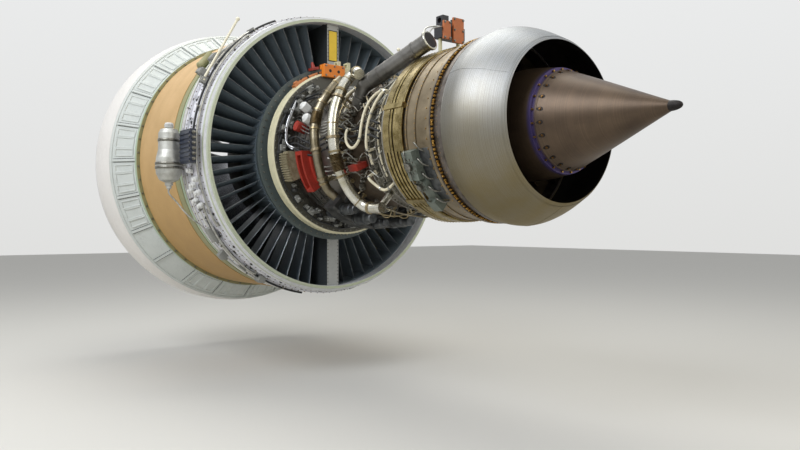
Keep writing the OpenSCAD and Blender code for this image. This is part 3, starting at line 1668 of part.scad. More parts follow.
module unison_ring() {
  r_a = ring_in_r + seat;
  color("silver") {
    ring(r_a, r_a + ring_t, ring_x, ring_x + ring_w);
    for (k = [0:ring_lever_count - 1])
      at_clock(k * 360 / ring_lever_count + 5)
        translate([ring_x + 4, -6, r_a + ring_t - 2])
          cube([ring_w - 8, 12, 10]);
    at_clock(actuator_clock)
      difference() {
        translate([ring_x + ring_w / 2 - 6, -24, r_a + ring_t - 2])
          cube([12, 48, actuator_orbit - r_a - ring_t + 26]);
        for (z = [-slot_travel, slot_travel])
          translate([ring_x + ring_w / 2 - 20, 0, actuator_orbit + z])
            rotate([0, 90, 0])
              cylinder(r = lug_pin_r + slot_play, h = 40);
        translate([ring_x + ring_w / 2 - 20, -lug_pin_r - slot_play, actuator_orbit - slot_travel])
          cube([40, 2 * (lug_pin_r + slot_play), 2 * slot_travel]);
      }
  }
}

rod_r = 14;
fork_gap = 18;
// Largest travel of the rod each way
rod_travel = 39;
fork_back = 38;
bridge_t = 12;
cylinder_near = fork_back + bridge_t + rod_travel + 4;
cylinder_len = 250;
rod_len = 180;

// The actuator's rod and fork with the pin in the ring's lug
module vane_actuator_rod() {
  x = ring_x + ring_w / 2;
  color("gainsboro")
    at_clock(actuator_clock)
      translate([x, 0, actuator_orbit]) {
        for (s = [-1, 1])
          translate([s * (fork_gap / 2 + 4) - 4, -16, -16])
            cube([8, fork_back + bridge_t + 12, 32]);
        translate([-fork_gap / 2 - 8, fork_back, -16])
          cube([fork_gap + 16, bridge_t, 32]);
        translate([-fork_gap / 2 - 8, 0, 0])
          rotate([0, 90, 0])
            cylinder(r = lug_pin_r, h = fork_gap + 16);
        translate([0, fork_back + bridge_t - 2, 0])
          rotate([-90, 0, 0])
            cylinder(r = rod_r, h = rod_len);
      }
}

module vane_actuator() {
  x = ring_x + ring_w / 2;
  color("lightgray")
    at_clock(actuator_clock)
      difference() {
        union() {
          translate([x, cylinder_near, actuator_orbit])
            rotate([-90, 0, 0])
              cylinder(r = 34, h = cylinder_len);
          for (foot = [[30, 560], [cylinder_len - 60, 500]])
            translate([comp_x + 20, cylinder_near + foot[0], actuator_orbit]) {
              translate([0, 0, -34])
                cube([ring_x + 20 - comp_x, 24, 40]);
              translate([0, 0, foot[1] - actuator_orbit])
                cube([30, 24, actuator_orbit - foot[1]]);
            }
        }
        translate([x, cylinder_near - over, actuator_orbit])
          rotate([-90, 0, 0])
            cylinder(r = rod_r + running, h = rod_len + 10);
        core_envelope(seat);
      }
}

inlet_lip();
inlet_outer_skin();
inlet_inner_barrel();
inlet_front_bulkhead();
inlet_aft_bulkhead();
inlet_attach_ring();
fan_case();
fan_case_wrap();
fan_exit_case();
outlet_guide_vanes();
fan_hub_frame();
core_splitter();
top_strut();
bottom_strut();
oil_tank();
control_unit();
fan_case_tubes();
fan_case_brackets();
core_front_ring();
handling_band();
forward_mount();
compressor_case();
combustor_case();
combustor_liner();
fuel_manifold();
turbine_case_front();
turbine_case();
flange_bolts();
exhaust_frame();
exhaust_nozzle();
plug_front();
plug_cone();
aft_mount();
mount_covers();
bleed_duct();
bleed_cross_pipe();
bleed_lower_pipe();
pipe_clamps();
bleed_valves();
port_covers();
oil_cooler();
cooling_tubes();
core_tubes();
gearbox();
accessories();
drive_shaft_housing();
cooling_air_valve();
bearings();
vane_actuator();
spinner();
fan_blades();
fan_disk();
lp_shaft();
lp_turbine_rotor();
compressor_rotor();
core_turbine_rotor();
unison_ring();
vane_actuator_rod();
hold_open_rod_left();
hold_open_rod_right();
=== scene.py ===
# %% [markdown]
# A turbofan engine with its fan cowls and thrust reverser off, so that guide vanes and core show.
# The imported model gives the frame: every piece below is in metres, with X along the centreline to
# the tail, Z up and the origin on the centreline at the fan case's rear rim. Because frame and
# pieces share these axes, nothing is fitted afterwards.

# %% Load the frame
import json
import math

import bpy
import numpy as np
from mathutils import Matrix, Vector


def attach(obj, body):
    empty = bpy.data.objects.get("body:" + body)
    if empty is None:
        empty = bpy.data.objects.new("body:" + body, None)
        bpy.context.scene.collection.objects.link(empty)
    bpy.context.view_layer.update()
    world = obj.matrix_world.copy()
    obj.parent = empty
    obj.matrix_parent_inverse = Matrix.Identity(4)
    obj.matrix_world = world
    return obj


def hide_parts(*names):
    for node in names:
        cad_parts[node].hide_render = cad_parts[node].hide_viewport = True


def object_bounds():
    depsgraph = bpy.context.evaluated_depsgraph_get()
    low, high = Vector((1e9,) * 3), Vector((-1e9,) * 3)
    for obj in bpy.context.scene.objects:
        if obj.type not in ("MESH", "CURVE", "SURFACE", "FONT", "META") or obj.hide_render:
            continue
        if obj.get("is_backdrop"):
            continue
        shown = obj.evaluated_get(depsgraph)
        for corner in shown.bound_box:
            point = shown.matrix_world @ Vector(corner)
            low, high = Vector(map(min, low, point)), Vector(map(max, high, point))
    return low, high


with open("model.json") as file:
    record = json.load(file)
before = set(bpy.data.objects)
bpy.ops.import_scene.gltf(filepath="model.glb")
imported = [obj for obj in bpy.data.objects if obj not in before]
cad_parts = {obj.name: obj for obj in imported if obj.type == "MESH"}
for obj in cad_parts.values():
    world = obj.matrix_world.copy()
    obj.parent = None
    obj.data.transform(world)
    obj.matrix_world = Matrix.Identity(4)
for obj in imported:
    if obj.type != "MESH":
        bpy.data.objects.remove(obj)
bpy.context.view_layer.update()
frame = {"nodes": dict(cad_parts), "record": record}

# %% [markdown]
# Shapes are worked out as whole numpy arrays. A shape is a pair: its points, one row each, and its
# faces, four point numbers a row, where a last number of -1 marks a triangle. Keeping shapes as
# arrays lets one bolt be copied a hundred times round a flange by a single matrix product.

# %% Grids and their faces
def grid_faces(rows, cols, loop_rows=False, loop_cols=False):
    """Quads of a grid of points numbered row by row; a looped side joins its last line to its first."""
    r, c = np.meshgrid(np.arange(rows - (not loop_rows)), np.arange(cols - (not loop_cols)), indexing="ij")
    r2, c2 = (r + 1) % rows, (c + 1) % cols
    return np.stack([r * cols + c, r * cols + c2, r2 * cols + c2, r2 * cols + c], -1).reshape(-1, 4)


def fan_faces(loop, centre):
    """Triangles from each edge of a closed loop of point numbers to one centre point."""
    loop = np.asarray(loop)
    return np.stack([loop, np.roll(loop, -1), np.full(len(loop), centre), np.full(len(loop), -1)], -1)


def merge(*shapes):
    """One shape out of several: points stacked, face numbers moved up by the points before them."""
    starts = np.cumsum([0] + [len(points) for points, _ in shapes[:-1]])
    faces = [np.where(f < 0, -1, f + start) for (_, f), start in zip(shapes, starts)]
    return np.concatenate([points for points, _ in shapes]), np.concatenate(faces)


def outward(shape):
    """Turns a closed shell so that its signed volume, the sum of p0 . (p1 x p2) / 6, is positive."""
    points, faces = shape
    p = points - points.mean(0)
    a, b, c = p[faces[:, 0]], p[faces[:, 1]], p[faces[:, 2]]
    d = p[np.where(faces[:, 3] < 0, faces[:, 2], faces[:, 3])]
    volume = (a * np.cross(b, c)).sum() + (a * np.cross(c, d)).sum()
    if volume > 0:
        return shape
    flipped = np.where(faces[:, 3:] < 0, faces[:, [2, 1, 0, 3]], faces[:, ::-1])
    return points, flipped


print("shape helpers: grid_faces, fan_faces, merge, outward")

# %% [markdown]
# Most of the engine is round about the centreline, so places are given as on a clock: twelve is
# up, and the angle grows towards the engine's left, which is -Y. The frames below stand a small
# piece on such a place, and a copy is then one matrix product.

# %% Places on the clock
def on_clock(x, clock, r):
    """Points (x, -r sin clock, r cos clock) for stations x, clock angles in degrees and radii r."""
    c = np.radians(clock)
    return np.stack(np.broadcast_arrays(x, -r * np.sin(c), r * np.cos(c)), -1).astype(float)


def frames(origin, x_axis, z_axis):
    """4x4 matrices with the given origins, local X and local Z; local Y is Z cross X."""
    origin, x_axis, z_axis = np.broadcast_arrays(origin, x_axis, z_axis)
    out = np.zeros(origin.shape[:-1] + (4, 4))
    out[..., :3, 0], out[..., :3, 2], out[..., :3, 3] = x_axis, z_axis, origin
    out[..., :3, 1] = np.cross(z_axis, x_axis)
    out[..., 3, 3] = 1
    return out


def outwards(x, clock, r):
    """Frames that stand a piece's Z away from the centreline, its X pointing aft."""
    place = on_clock(x, clock, r)
    return frames(place, [1.0, 0, 0], on_clock(0.0, np.broadcast_to(clock, place.shape[:-1]), 1.0))


def aftwards(x, clock, r):
    """Frames that point a piece's Z along the centreline to the tail, its X pointing outwards."""
    place = on_clock(x, clock, r)
    return frames(place, on_clock(0.0, np.broadcast_to(clock, place.shape[:-1]), 1.0), [1.0, 0, 0])


def facing_aft(points):
    """Frames at points whose local Z points to the tail, for heads on a flat rear face."""
    return frames(points, [0, 0, 1.0], [1.0, 0, 0])


def on_slope(x, clock, r, way, lift=0.0):
    """Frames on a cone: local X along the unit way (dx, dr) of its slope, local Z out of its face."""
    radial = on_clock(0.0, clock, 1.0)
    dx, dr = way
    out = np.sign(dx) or 1.0
    along = radial * dr + np.array([dx, 0, 0])
    normal = out * (radial * dx - np.array([dr, 0, 0]))
    return frames(on_clock(x, clock, r) + lift * normal, along, normal)


def copies(shape, places):
    """The shape once for each 4x4 frame, as one shape."""
    points, faces = shape
    places = np.asarray(places).reshape(-1, 4, 4)
    moved = np.einsum("kij,nj->kni", places[:, :3, :3], points) + places[:, None, :3, 3]
    steps = (np.arange(len(places)) * len(points))[:, None, None]
    return moved.reshape(-1, 3), np.where(faces < 0, -1, faces + steps).reshape(-1, 4)


def standing(shape, x, clock, r):
    """Copies of a shape that stand on the skin at these places, their local Z straight out."""
    return copies(shape, outwards(x, clock, r))


def rearward(shape, x, clock, r):
    """Copies of a shape at these places with their local Z to the tail."""
    return copies(shape, aftwards(x, clock, r))


def around(count, start=0.0):
    """Clock angles of count places spread evenly round the full circle, in degrees."""
    return start + np.arange(count) * 360.0 / count


print("places: on_clock, outwards, aftwards, facing_aft, on_slope, copies, standing, rearward, around")

# %% [markdown]
# Three ways of making a surface cover nearly every piece: a profile turned about the centreline,
# a section carried along a path, and an outline given a thickness. Each is a grid of two
# parameters, closed at its ends, so that it also makes a sound solid.

# %% Lathe, sweep and plate
def closed_grid(points):
    """A grid of points as one closed shell: each row is a loop, and a fan closes each end row."""
    rows, n = points.shape[:2]
    flat, total = points.reshape(-1, 3), rows * n
    faces = np.concatenate([grid_faces(rows, n, loop_cols=True), fan_faces(np.arange(n)[::-1], total),
                            fan_faces(np.arange(total - n, total), total + 1)])
    return outward((np.concatenate([flat, points[[0, -1]].mean(1)]), faces))


def lathe(profile, steps=192, clock=(0.0, 360.0)):
    """Turns a closed profile of (station, radius) rows about X: point = (x, -r sin c, r cos c)."""
    profile = np.asarray(profile, float)
    full = clock[1] - clock[0] >= 360
    angles = np.linspace(clock[0], clock[1], steps + (not full), endpoint=not full)
    points = on_clock(profile[None, :, 0], angles[:, None], profile[None, :, 1])
    if not full:
        return closed_grid(points)
    return outward((points.reshape(-1, 3), grid_faces(*points.shape[:2], loop_rows=True, loop_cols=True)))


def hoop(x0, x1, r0, r1, steps=192, clock=(0.0, 360.0)):
    """A plain band round the centreline from station x0 to x1 and from radius r0 to r1."""
    return lathe([[x0, r0], [x1, r0], [x1, r1], [x0, r1]], steps, clock)


def circle(sides):
    """Points of a unit circle, evenly spaced from the X axis on."""
    a = np.arange(sides) * 2 * np.pi / sides
    return np.stack([np.cos(a), np.sin(a)], -1)


def turned(profile, sides=16):
    """A small piece turned about its own Z: each (radius, height) row becomes a ring of points."""
    profile = np.asarray(profile, float)
    heights = np.broadcast_to(profile[:, 1:, None], (len(profile), sides, 1))
    return closed_grid(np.concatenate([profile[:, :1, None] * circle(sides), heights], -1))


def smooth_path(knots, steps=8):
    """Catmull-Rom curve through the knots: cubic blends of four neighbours, steps points a span."""
    p = np.asarray(knots, float)
    p = np.concatenate([[2 * p[0] - p[1]], p, [2 * p[-1] - p[-2]]])
    t = np.linspace(0, 1, steps, endpoint=False)[None, :, None]
    a, b, c, d = (p[i:len(p) - 3 + i, None] for i in range(4))
    spans = 0.5 * (2 * b + (c - a) * t + (2 * a - 5 * b + 4 * c - d) * t ** 2
                   + (3 * b - a - 3 * c + d) * t ** 3)
    return np.concatenate([spans.reshape(-1, p.shape[1]), p[-2:-1]])


def path_sides(path):
    """Unit tangents of a path, and two unit side directions carried along it without twist."""
    tangent = np.gradient(path, axis=0)
    tangent /= np.linalg.norm(tangent, axis=1, keepdims=True)
    side = np.cross(tangent[0], [0.3, 0.5, 0.81])
    rows = []
    for t in tangent:
        side = side - (side @ t) * t
        side = side / np.linalg.norm(side)
        rows.append(side)
    rows = np.array(rows)
    return tangent, rows, np.cross(tangent, rows)


def sweep(path, radius, sides=12):
    """A circle carried along a path; radius may be one number a point of the path."""
    path = np.asarray(path, float)
    size = np.broadcast_to(radius, len(path))[:, None, None]
    _, u, v = path_sides(path)
    section = circle(sides)
    return closed_grid(path[:, None] + size * (section[:, :1] * u[:, None] + section[:, 1:] * v[:, None]))


def plate(outline, low, high):
    """A flat outline in local X and Y, convex or nearly so, thick from height low to height high."""
    outline = np.asarray(outline, float)
    return closed_grid(np.stack([np.c_[outline, np.full(len(outline), z)] for z in (low, high)]))


def block(low, high):
    """A box between two corners in its local frame."""
    (x0, y0, z0), (x1, y1, z1) = low, high
    return plate([[x0, y0], [x1, y0], [x1, y1], [x0, y1]], z0, z1)


print("surfaces: lathe, hoop, turned, sweep, plate, block")

# %% [markdown]
# The camera stands where the photographer stood: low beside the engine's tail on its left, looking
# forward along it. Position, turn and focal length were solved from the ellipses of the case, the
# nozzle and the plug, whose real radii are known.

# %% Camera
CAMERA_AT = (6.740, -4.320, -0.798)
CAMERA_YAW = math.radians(52.16)
CAMERA_PITCH = math.radians(0.14)
LENS_MM = 32.37
SENSOR_MM = 36.0

scene = bpy.context.scene
camera_data = bpy.data.cameras.new("camera")
camera_data.lens, camera_data.sensor_width = LENS_MM, SENSOR_MM
camera_data.sensor_fit = "HORIZONTAL"
camera = bpy.data.objects.new("camera", camera_data)
scene.collection.objects.link(camera)
look = Vector((-math.sin(CAMERA_YAW) * math.cos(CAMERA_PITCH),
               math.cos(CAMERA_YAW) * math.cos(CAMERA_PITCH), math.sin(CAMERA_PITCH)))
camera.location = CAMERA_AT
camera.rotation_euler = look.to_track_quat("-Z", "Y").to_euler()
scene.camera = camera
scene.view_settings.view_transform = "Standard"
print("camera at", CAMERA_AT, "lens", LENS_MM, "mm")

# %% [markdown]
# Colours are noted as sRGB hex values, as a paint chart gives them, and one function turns them
# to the linear numbers that shaders work in. One more function adds a node, sets what it is given
# and links what comes from another node.

# %% Colour and node helpers
def linear(colour):
    """sRGB hex to linear RGBA: c / 12.92 below 0.04045, else ((c + 0.055) / 1.055) ** 2.4."""
    rgb = [int(colour[i:i + 2], 16) / 255 for i in (1, 3, 5)]
    return (*[c / 12.92 if c <= 0.04045 else ((c + 0.055) / 1.055) ** 2.4 for c in rgb], 1.0)


def feed(tree, node, inputs):
    """Fills a node's inputs, by name or number: values are written in, nodes and sockets linked."""
    for key, value in inputs.items():
        if isinstance(value, bpy.types.Node):
            value = value.outputs[0]
        if isinstance(value, bpy.types.NodeSocket):
            tree.links.new(value, node.inputs[key])
        else:
            node.inputs[key].default_value = value


def add(tree, kind, inputs=None, **settings):
    """Adds a shader node of one kind with its settings, and feeds its inputs."""
    new = tree.nodes.new("ShaderNode" + kind)
    for key, value in settings.items():
        setattr(new, key, value)
    feed(tree, new, inputs or {})
    return new


# Socket numbers of a Mix node's two colours and of its mixed colour
COLOUR_A, COLOUR_B, COLOUR_OUT = 6, 7, 2


def per_metre(mm):
    """Texture scale on object coordinates, in metres, for a pattern that repeats each so many mm."""
    return 1000.0 / mm


print("white is", [round(c, 2) for c in linear("#FFFFFF")])

# %% [markdown]
# The stage is plain: a pale floor, a pale world, and soft light. The world shows one brightness to
# the camera and to mirrors and a lower one to matt surfaces, so the background stays pale while the
# engine is lit at a plain level and keeps its shading.

# %% Floor and world
FLOOR_Z = -2.45
FLOOR_HALF = 40.0
floor_mesh = bpy.data.meshes.new("floor")
corners = [(FLOOR_HALF * sx, FLOOR_HALF * sy, FLOOR_Z) for sx, sy in ((-1, -1), (1, -1), (1, 1), (-1, 1))]
floor_mesh.from_pydata(corners, [], [(0, 1, 2, 3)])
floor = bpy.data.objects.new("floor", floor_mesh)
scene.collection.objects.link(floor)
floor_paint = bpy.data.materials.new("floor_paint")
floor_paint.use_nodes = True
feed(floor_paint.node_tree, floor_paint.node_tree.nodes["Principled BSDF"],
     {"Base Color": linear("#CFCDC7"), "Roughness": 0.75})
floor_mesh.materials.append(floor_paint)
floor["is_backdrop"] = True

world = bpy.data.worlds.new("studio")
scene.world = world
world.use_nodes = True
tree = world.node_tree
tree.nodes.clear()
rays = add(tree, "LightPath")
shown = add(tree, "Math", {0: rays.outputs["Is Camera Ray"], 1: rays.outputs["Is Glossy Ray"]},
            operation="MAXIMUM")
shown = add(tree, "Math", {0: shown, 1: rays.outputs["Is Transmission Ray"]}, operation="MAXIMUM")
way = add(tree, "SeparateXYZ", {0: add(tree, "TexCoord").outputs["Generated"]})
height = add(tree, "MapRange", {"Value": way.outputs["Z"], "From Min": -0.1, "From Max": 0.7})
sky = add(tree, "Mix", {0: height, COLOUR_A: linear("#DEDEDC"), COLOUR_B: linear("#F6F8FA")},
          data_type="RGBA")
seen = add(tree, "Background", {"Color": sky.outputs[COLOUR_OUT], "Strength": 1.0})
lighting = add(tree, "Background", {"Color": linear("#F2F4F6"), "Strength": 0.55})
both = add(tree, "MixShader", {0: shown, 1: lighting, 2: seen})
add(tree, "OutputWorld", {"Surface": both})
print("floor at", FLOOR_Z, "m")

# %% [markdown]
# Daylight falls from high on the engine's left, and lamps shine from overhead and from behind.
# Three broad area lamps stand for them; broad lamps give the long soft highlights that tell the
# eye a surface is round and metallic.

# %% Lamps
def lamp(name, at, aim, size, watts, colour):
    """A square area lamp of a size in metres at a place, pointing at another place."""
    data = bpy.data.lights.new(name, "AREA")
    data.size, data.energy = size, watts
    data.color = linear(colour)[:3]
    made = bpy.data.objects.new(name, data)
    made.location = at
    made.rotation_euler = (Vector(aim) - Vector(at)).to_track_quat("-Z", "Y").to_euler()
    scene.collection.objects.link(made)


lamp("window_lamp", (2.5, -9.0, 6.5), (0.5, 0.0, 0.0), 6.0, 900, "#F4F8FF")
lamp("roof_lamp", (-2.0, 1.0, 8.5), (0.0, 0.0, 0.0), 7.0, 520, "#FFFDF6")
lamp("tail_lamp", (10.0, 1.5, 3.5), (1.0, 0.0, 0.0), 4.0, 190, "#FFF8EC")

# %% [markdown]
# Finishes come before pieces. Every material starts from what the real surface is and how it was
# made, and reads object coordinates, so a pattern stays on its surface when a body turns. A few
# helpers make a shader and vary its gloss, relief and colour; the rest are the shop's ways of
# finishing metal: sprayed, drawn, turned on a lathe, or cast.

# %% Base for every finish
FINISH = {}


def where(tree):
    """The object coordinates and their three parts, for patterns that run along one axis."""
    place = add(tree, "TexCoord").outputs["Object"]
    return place, add(tree, "SeparateXYZ", {0: place}).outputs


def shader(slot, name, roughness, metallic=0.0):
    """A slot's new material: its tree, its principled shader, the coordinates and their parts."""
    FINISH[slot] = material = bpy.data.materials.new(name)
    material.use_nodes = True
    tree = material.node_tree
    surface = tree.nodes["Principled BSDF"]
    feed(tree, surface, {"Metallic": metallic, "Roughness": roughness})
    return tree, surface, *where(tree)


def gloss(tree, surface, value, smooth, rough, **span):
    """Lets a value, from 0 to 1 unless a span is named, carry the roughness from smooth to rough."""
    ends = {"To Min": smooth, "To Max": rough, **span}
    feed(tree, surface, {"Roughness": add(tree, "MapRange", {"Value": value, **ends})})


# The middle part of a noise's values, where nearly all of them lie
MIDDLE = {"From Min": 0.3, "From Max": 0.7}


def bump(tree, surface, height, depth_mm):
    """Joins a height from 0 to 1 to the surface's normal as a relief of depth_mm millimetres."""
    relief = add(tree, "Bump", {"Height": height, "Distance": depth_mm / 1000.0, "Strength": 1.0})
    feed(tree, surface, {"Normal": relief})


def patches(tree, place, mm, low=0.35, high=0.65, detail=5.0):
    """Soft cloudy patches about mm across, from 0 below a noise of low to 1 above high."""
    noise = add(tree, "TexNoise", {"Vector": place, "Scale": per_metre(mm), "Detail": detail,
                                   "Roughness": 0.6})
    return add(tree, "MapRange", {"Value": noise, "From Min": low, "From Max": high}).outputs[0]


def blend(tree, factor, first, second):
    """The mix of two colours, each a hex value or a socket, by a factor socket or number."""
    values = [linear(c) if isinstance(c, str) else c for c in (first, second)]
    return add(tree, "Mix", {0: factor, COLOUR_A: values[0], COLOUR_B: values[1]},
               data_type="RGBA").outputs[COLOUR_OUT]


print("finish helpers: where, shader, gloss, bump, patches, blend")

# %% [markdown]
# Sprayed paint and primer: the eye reads it by a slight unevenness of colour where it is handled
# or sooty, and by the orange peel of the spray, about 3 to 6 mm across. Pale paint on pressed
# sheet also shows faint oil-canning, a waviness as wide as a hand.

# %% Sprayed coatings
def sprayed(slot, name, colour, soil, patch_mm=180, rough=0.45, soiling=0.5, peel_mm=5.0, wavy_mm=0.0):
    """Paint with soiled patches and orange peel; wavy_mm adds the sheet's own slow waviness."""
    tree, surface, place, _ = shader(slot, name, rough)
    dirt = patches(tree, place, patch_mm, 0.42, 0.8)
    fine = patches(tree, place, patch_mm / 9, 0.35, 0.75)
    dirt = add(tree, "Math", {0: dirt, 1: fine}, operation="MULTIPLY")
    share = add(tree, "Math", {0: dirt, 1: soiling}, operation="MULTIPLY")
    feed(tree, surface, {"Base Color": blend(tree, share, colour, soil)})
    gloss(tree, surface, fine, rough - 0.06, rough + 0.12)
    peel = patches(tree, place, peel_mm, 0.3, 0.7, 2.0)
    if wavy_mm:
        wave = patches(tree, place, 220, 0.2, 0.8, 1.0)
        mixed = add(tree, "Math", {0: wave, 1: wavy_mm, 2: peel}, operation="MULTIPLY_ADD")
        bump(tree, surface, mixed, 0.35)
    else:
        bump(tree, surface, peel, 0.25)


# Satin white polyurethane topcoat, washed pink-grey by years of floor light and hands
sprayed("cowl_paint", "satin_white_topcoat", "#E4E0DA", "#B7ADA2", 300, 0.38, 0.35, 6.0, 1.5)
# Epoxy primer on pressed aluminium sheet: pale grey with a green cast, matt
sprayed("bulkhead_paint", "grey_green_epoxy_primer", "#C6CAC5", "#8C928C", 160, 0.5, 0.6, 5.0, 2.0)
sprayed("primer_green", "pale_green_primer", "#A9B99F", "#7E8D74", 90, 0.6, 0.6)
# Olive coating on the forged fan case ring
sprayed("case_olive", "olive_case_coating", "#8E8B62", "#5E5C40", 120, 0.5, 0.6)
# Lilac-white paint of the exit case, speckled by sealant and fingerprints
sprayed("exit_paint", "lilac_white_enamel", "#D3D3D6", "#8A898E", 60, 0.42, 0.9, 4.0)
# Dark slate erosion coating of the guide vanes, satin
sprayed("vane_slate", "slate_erosion_coating", "#6E7A82", "#4A545B", 140, 0.34, 0.6)
# Grey-green paint on the hub frame's casting
sprayed("hub_paint", "grey_green_frame_paint", "#545D5B", "#333A39", 90, 0.5, 0.7, 7.0)
sprayed("strut_grey", "light_grey_strut_paint", "#A9AAA6", "#6C6E6A", 110, 0.45, 0.6)
# Deep navy epoxy enamel on the control unit's cast housing
sprayed("control_blue", "navy_enamel", "#1E2638", "#0E121C", 60, 0.35, 0.5)
sprayed("bracket_grey", "grey_bracket_paint", "#8C8C86", "#4E4E4A", 40, 0.5, 0.7)
# Cream enamel of the landing ring, stained along its edges
sprayed("ring_cream", "cream_enamel", "#D5CFAE", "#8C8564", 70, 0.45, 0.6)
sprayed("band_brown", "orange_brown_paint", "#B4703F", "#7C4522", 60, 0.5, 0.7)
sprayed("grip_orange", "bright_orange_paint", "#E4801F", "#A9500E", 60, 0.45, 0.5)
sprayed("cover_red", "red_cover_enamel", "#9A3023", "#5C1A12", 50, 0.45, 0.8)
sprayed("mount_pale", "cream_mount_primer", "#CFCBA6", "#8E8A6A", 60, 0.5, 0.5)
sprayed("mount_black", "black_mount_paint", "#26262A", "#111113", 60, 0.4, 0.6)
sprayed("cover_orange", "burnt_orange_paint", "#BC6C3C", "#7E4420", 60, 0.5, 0.6)
sprayed("valve_white", "white_valve_epoxy", "#DCDCD8", "#8A8A84", 40, 0.35, 0.6)
# Grey-green coating of the cooling valve's castings
sprayed("valve_green", "green_grey_casting_paint", "#697066", "#393E38", 50, 0.5, 0.9, 8.0)
sprayed("spinner_paint", "black_erosion_paint", "#26272A", "#121315", 90, 0.35, 0.5)
sprayed("rod_ivory", "ivory_rod_paint", "#DDD6BE", "#9A9276", 60, 0.4, 0.5)
sprayed("cream_tube", "cream_tube_sleeve", "#D9D0B4", "#8F8262", 40, 0.5, 0.7)
# Bright yellow of the bare placard
sprayed("placard_yellow", "yellow_placard_enamel", "#E2BE32", "#A8861C", 40, 0.45, 0.4)
# Braided and sleeved electric harnesses
sprayed("harness_black", "black_harness_braid", "#1E1F20", "#0C0C0D", 20, 0.6, 0.5)
sprayed("harness_white", "white_harness_sleeve", "#D6D4CC", "#8E8C84", 25, 0.6, 0.5)
# Smooth pale green-grey enamel of the rear rim
sprayed("rim_green", "pale_rim_enamel", "#B9BFA5", "#8F957C", 120, 0.4, 0.5)
print("sprayed finishes:", len(FINISH))

# %% [markdown]
# Bare metal is told from paint by its colour tinting the highlights, by tiny scratches that widen
# them, and on hot parts by straw and blue oxide films. Drawn tube gets patches of tint; a turned
# or spun part gets the rings that its lathe left, one or two millimetres apart.

# %% Bare metals
def bare_metal(slot, name, colour, tint, patch_mm=120, rough=0.32, grain_mm=1.6, relief_mm=0.05,
               metallic=1.0):
    """Metal with oxide tint in patches and a fine even grain that also varies its gloss."""
    tree, surface, place, _ = shader(slot, name, rough, metallic)
    tint_share = patches(tree, place, patch_mm, 0.38, 0.68)
    feed(tree, surface, {"Base Color": blend(tree, tint_share, colour, tint)})
    grain = patches(tree, place, grain_mm * 4, 0.3, 0.7, 3.0)
    gloss(tree, surface, grain, rough - 0.07, rough + 0.1)
    bump(tree, surface, grain, relief_mm)


def lathe_metal(slot, name, colour, tint, ring_mm=2.0, rough=0.3, relief_mm=0.05, metallic=1.0):
    """Turned metal: rings along X from one-dimensional noise, and tint that drifts with them."""
    tree, surface, place, parts = shader(slot, name, rough, metallic)
    rings = add(tree, "TexNoise", {"W": parts[0], "Scale": per_metre(ring_mm), "Detail": 6.0,
                                   "Roughness": 0.7}, noise_dimensions="1D")
    tint_share = patches(tree, place, 160, 0.35, 0.7)
    both = add(tree, "Math", {0: rings, 1: 0.5, 2: tint_share}, operation="MULTIPLY_ADD")
    both = add(tree, "Math", {0: both, 1: 0.66}, operation="MULTIPLY")
    feed(tree, surface, {"Base Color": blend(tree, both, colour, tint)})
    gloss(tree, surface, rings, rough - 0.06, rough + 0.1, **MIDDLE)
    bump(tree, surface, rings, relief_mm)


# Spun aluminium nose ring, dulled by handling
lathe_metal("lip_metal", "spun_aluminium", "#C9CACC", "#A7A8AA", 3.0, 0.34)
# Brushed stainless sheet of the oil tank
bare_metal("tank_metal", "brushed_stainless", "#C2C2BC", "#94938A", 150, 0.46, 1.2, 0.05, 0.7)
bare_metal("tube_steel", "drawn_stainless_tube", "#BDBDB8", "#8E8C82", 60, 0.3)
lathe_metal("titanium", "turned_titanium", "#8A8680", "#5E5850", 2.0, 0.36)
# Turbine case sheet, browned by heat and brushed round
lathe_metal("case_brown", "heat_browned_case_sheet", "#968870", "#645844", 2.4, 0.4, 0.05, 0.75)
# Nickel alloy of the combustor case, straw to brown
lathe_metal("hot_steel", "heat_tinted_nickel", "#6A5E50", "#40362C", 2.4, 0.42)
bare_metal("liner_steel", "oxidised_liner_sheet", "#5E5044", "#3A3028", 60, 0.5)
bare_metal("manifold_steel", "straw_tinted_tube", "#A89C80", "#7A6A48", 50, 0.34)
lathe_metal("flange_pale", "machined_pale_alloy", "#B8B6B0", "#8E8A80", 1.6, 0.3)
# Gold-tinted locking nuts: cadmium and heat film on steel
bare_metal("nut_gold", "gold_tinted_nut_steel", "#C9A45C", "#8A6228", 22, 0.32, 0.8)
bare_metal("nut_dark", "burnt_nut_steel", "#6E5230", "#3C2A18", 18, 0.4, 0.8)
bare_metal("frame_steel", "cast_nickel_frame", "#77706A", "#4C4640", 80, 0.42, 3.0, 0.12)
bare_metal("duct_grey", "oxidised_duct_sheet", "#7A7874", "#5A5854", 200, 0.42, 1.5)
# Bright titanium pipe, straw-tinted at its bends
bare_metal("pipe_silver", "bright_titanium_pipe", "#D6D4CA", "#A9A48E", 220, 0.22, 1.2, 0.03)
bare_metal("pipe_bronze", "bronze_tinted_pipe", "#8E8674", "#5E543C", 140, 0.34, 1.6)
bare_metal("clamp_bronze", "gold_film_clamp", "#A0937A", "#6E6148", 40, 0.32)
lathe_metal("bearing_steel", "ground_bearing_steel", "#C6C6CA", "#9A9A9E", 1.0, 0.16)
# Forged and polished fan blades
bare_metal("blade_titanium", "polished_blade_titanium", "#9A9CA0", "#74767A", 260, 0.26, 1.0)
lathe_metal("rotor_steel", "turned_rotor_alloy", "#86827C", "#5C5852", 2.0, 0.34)
lathe_metal("ring_steel", "machined_ring_steel", "#A9A9A6", "#7C7C78", 1.5, 0.3)
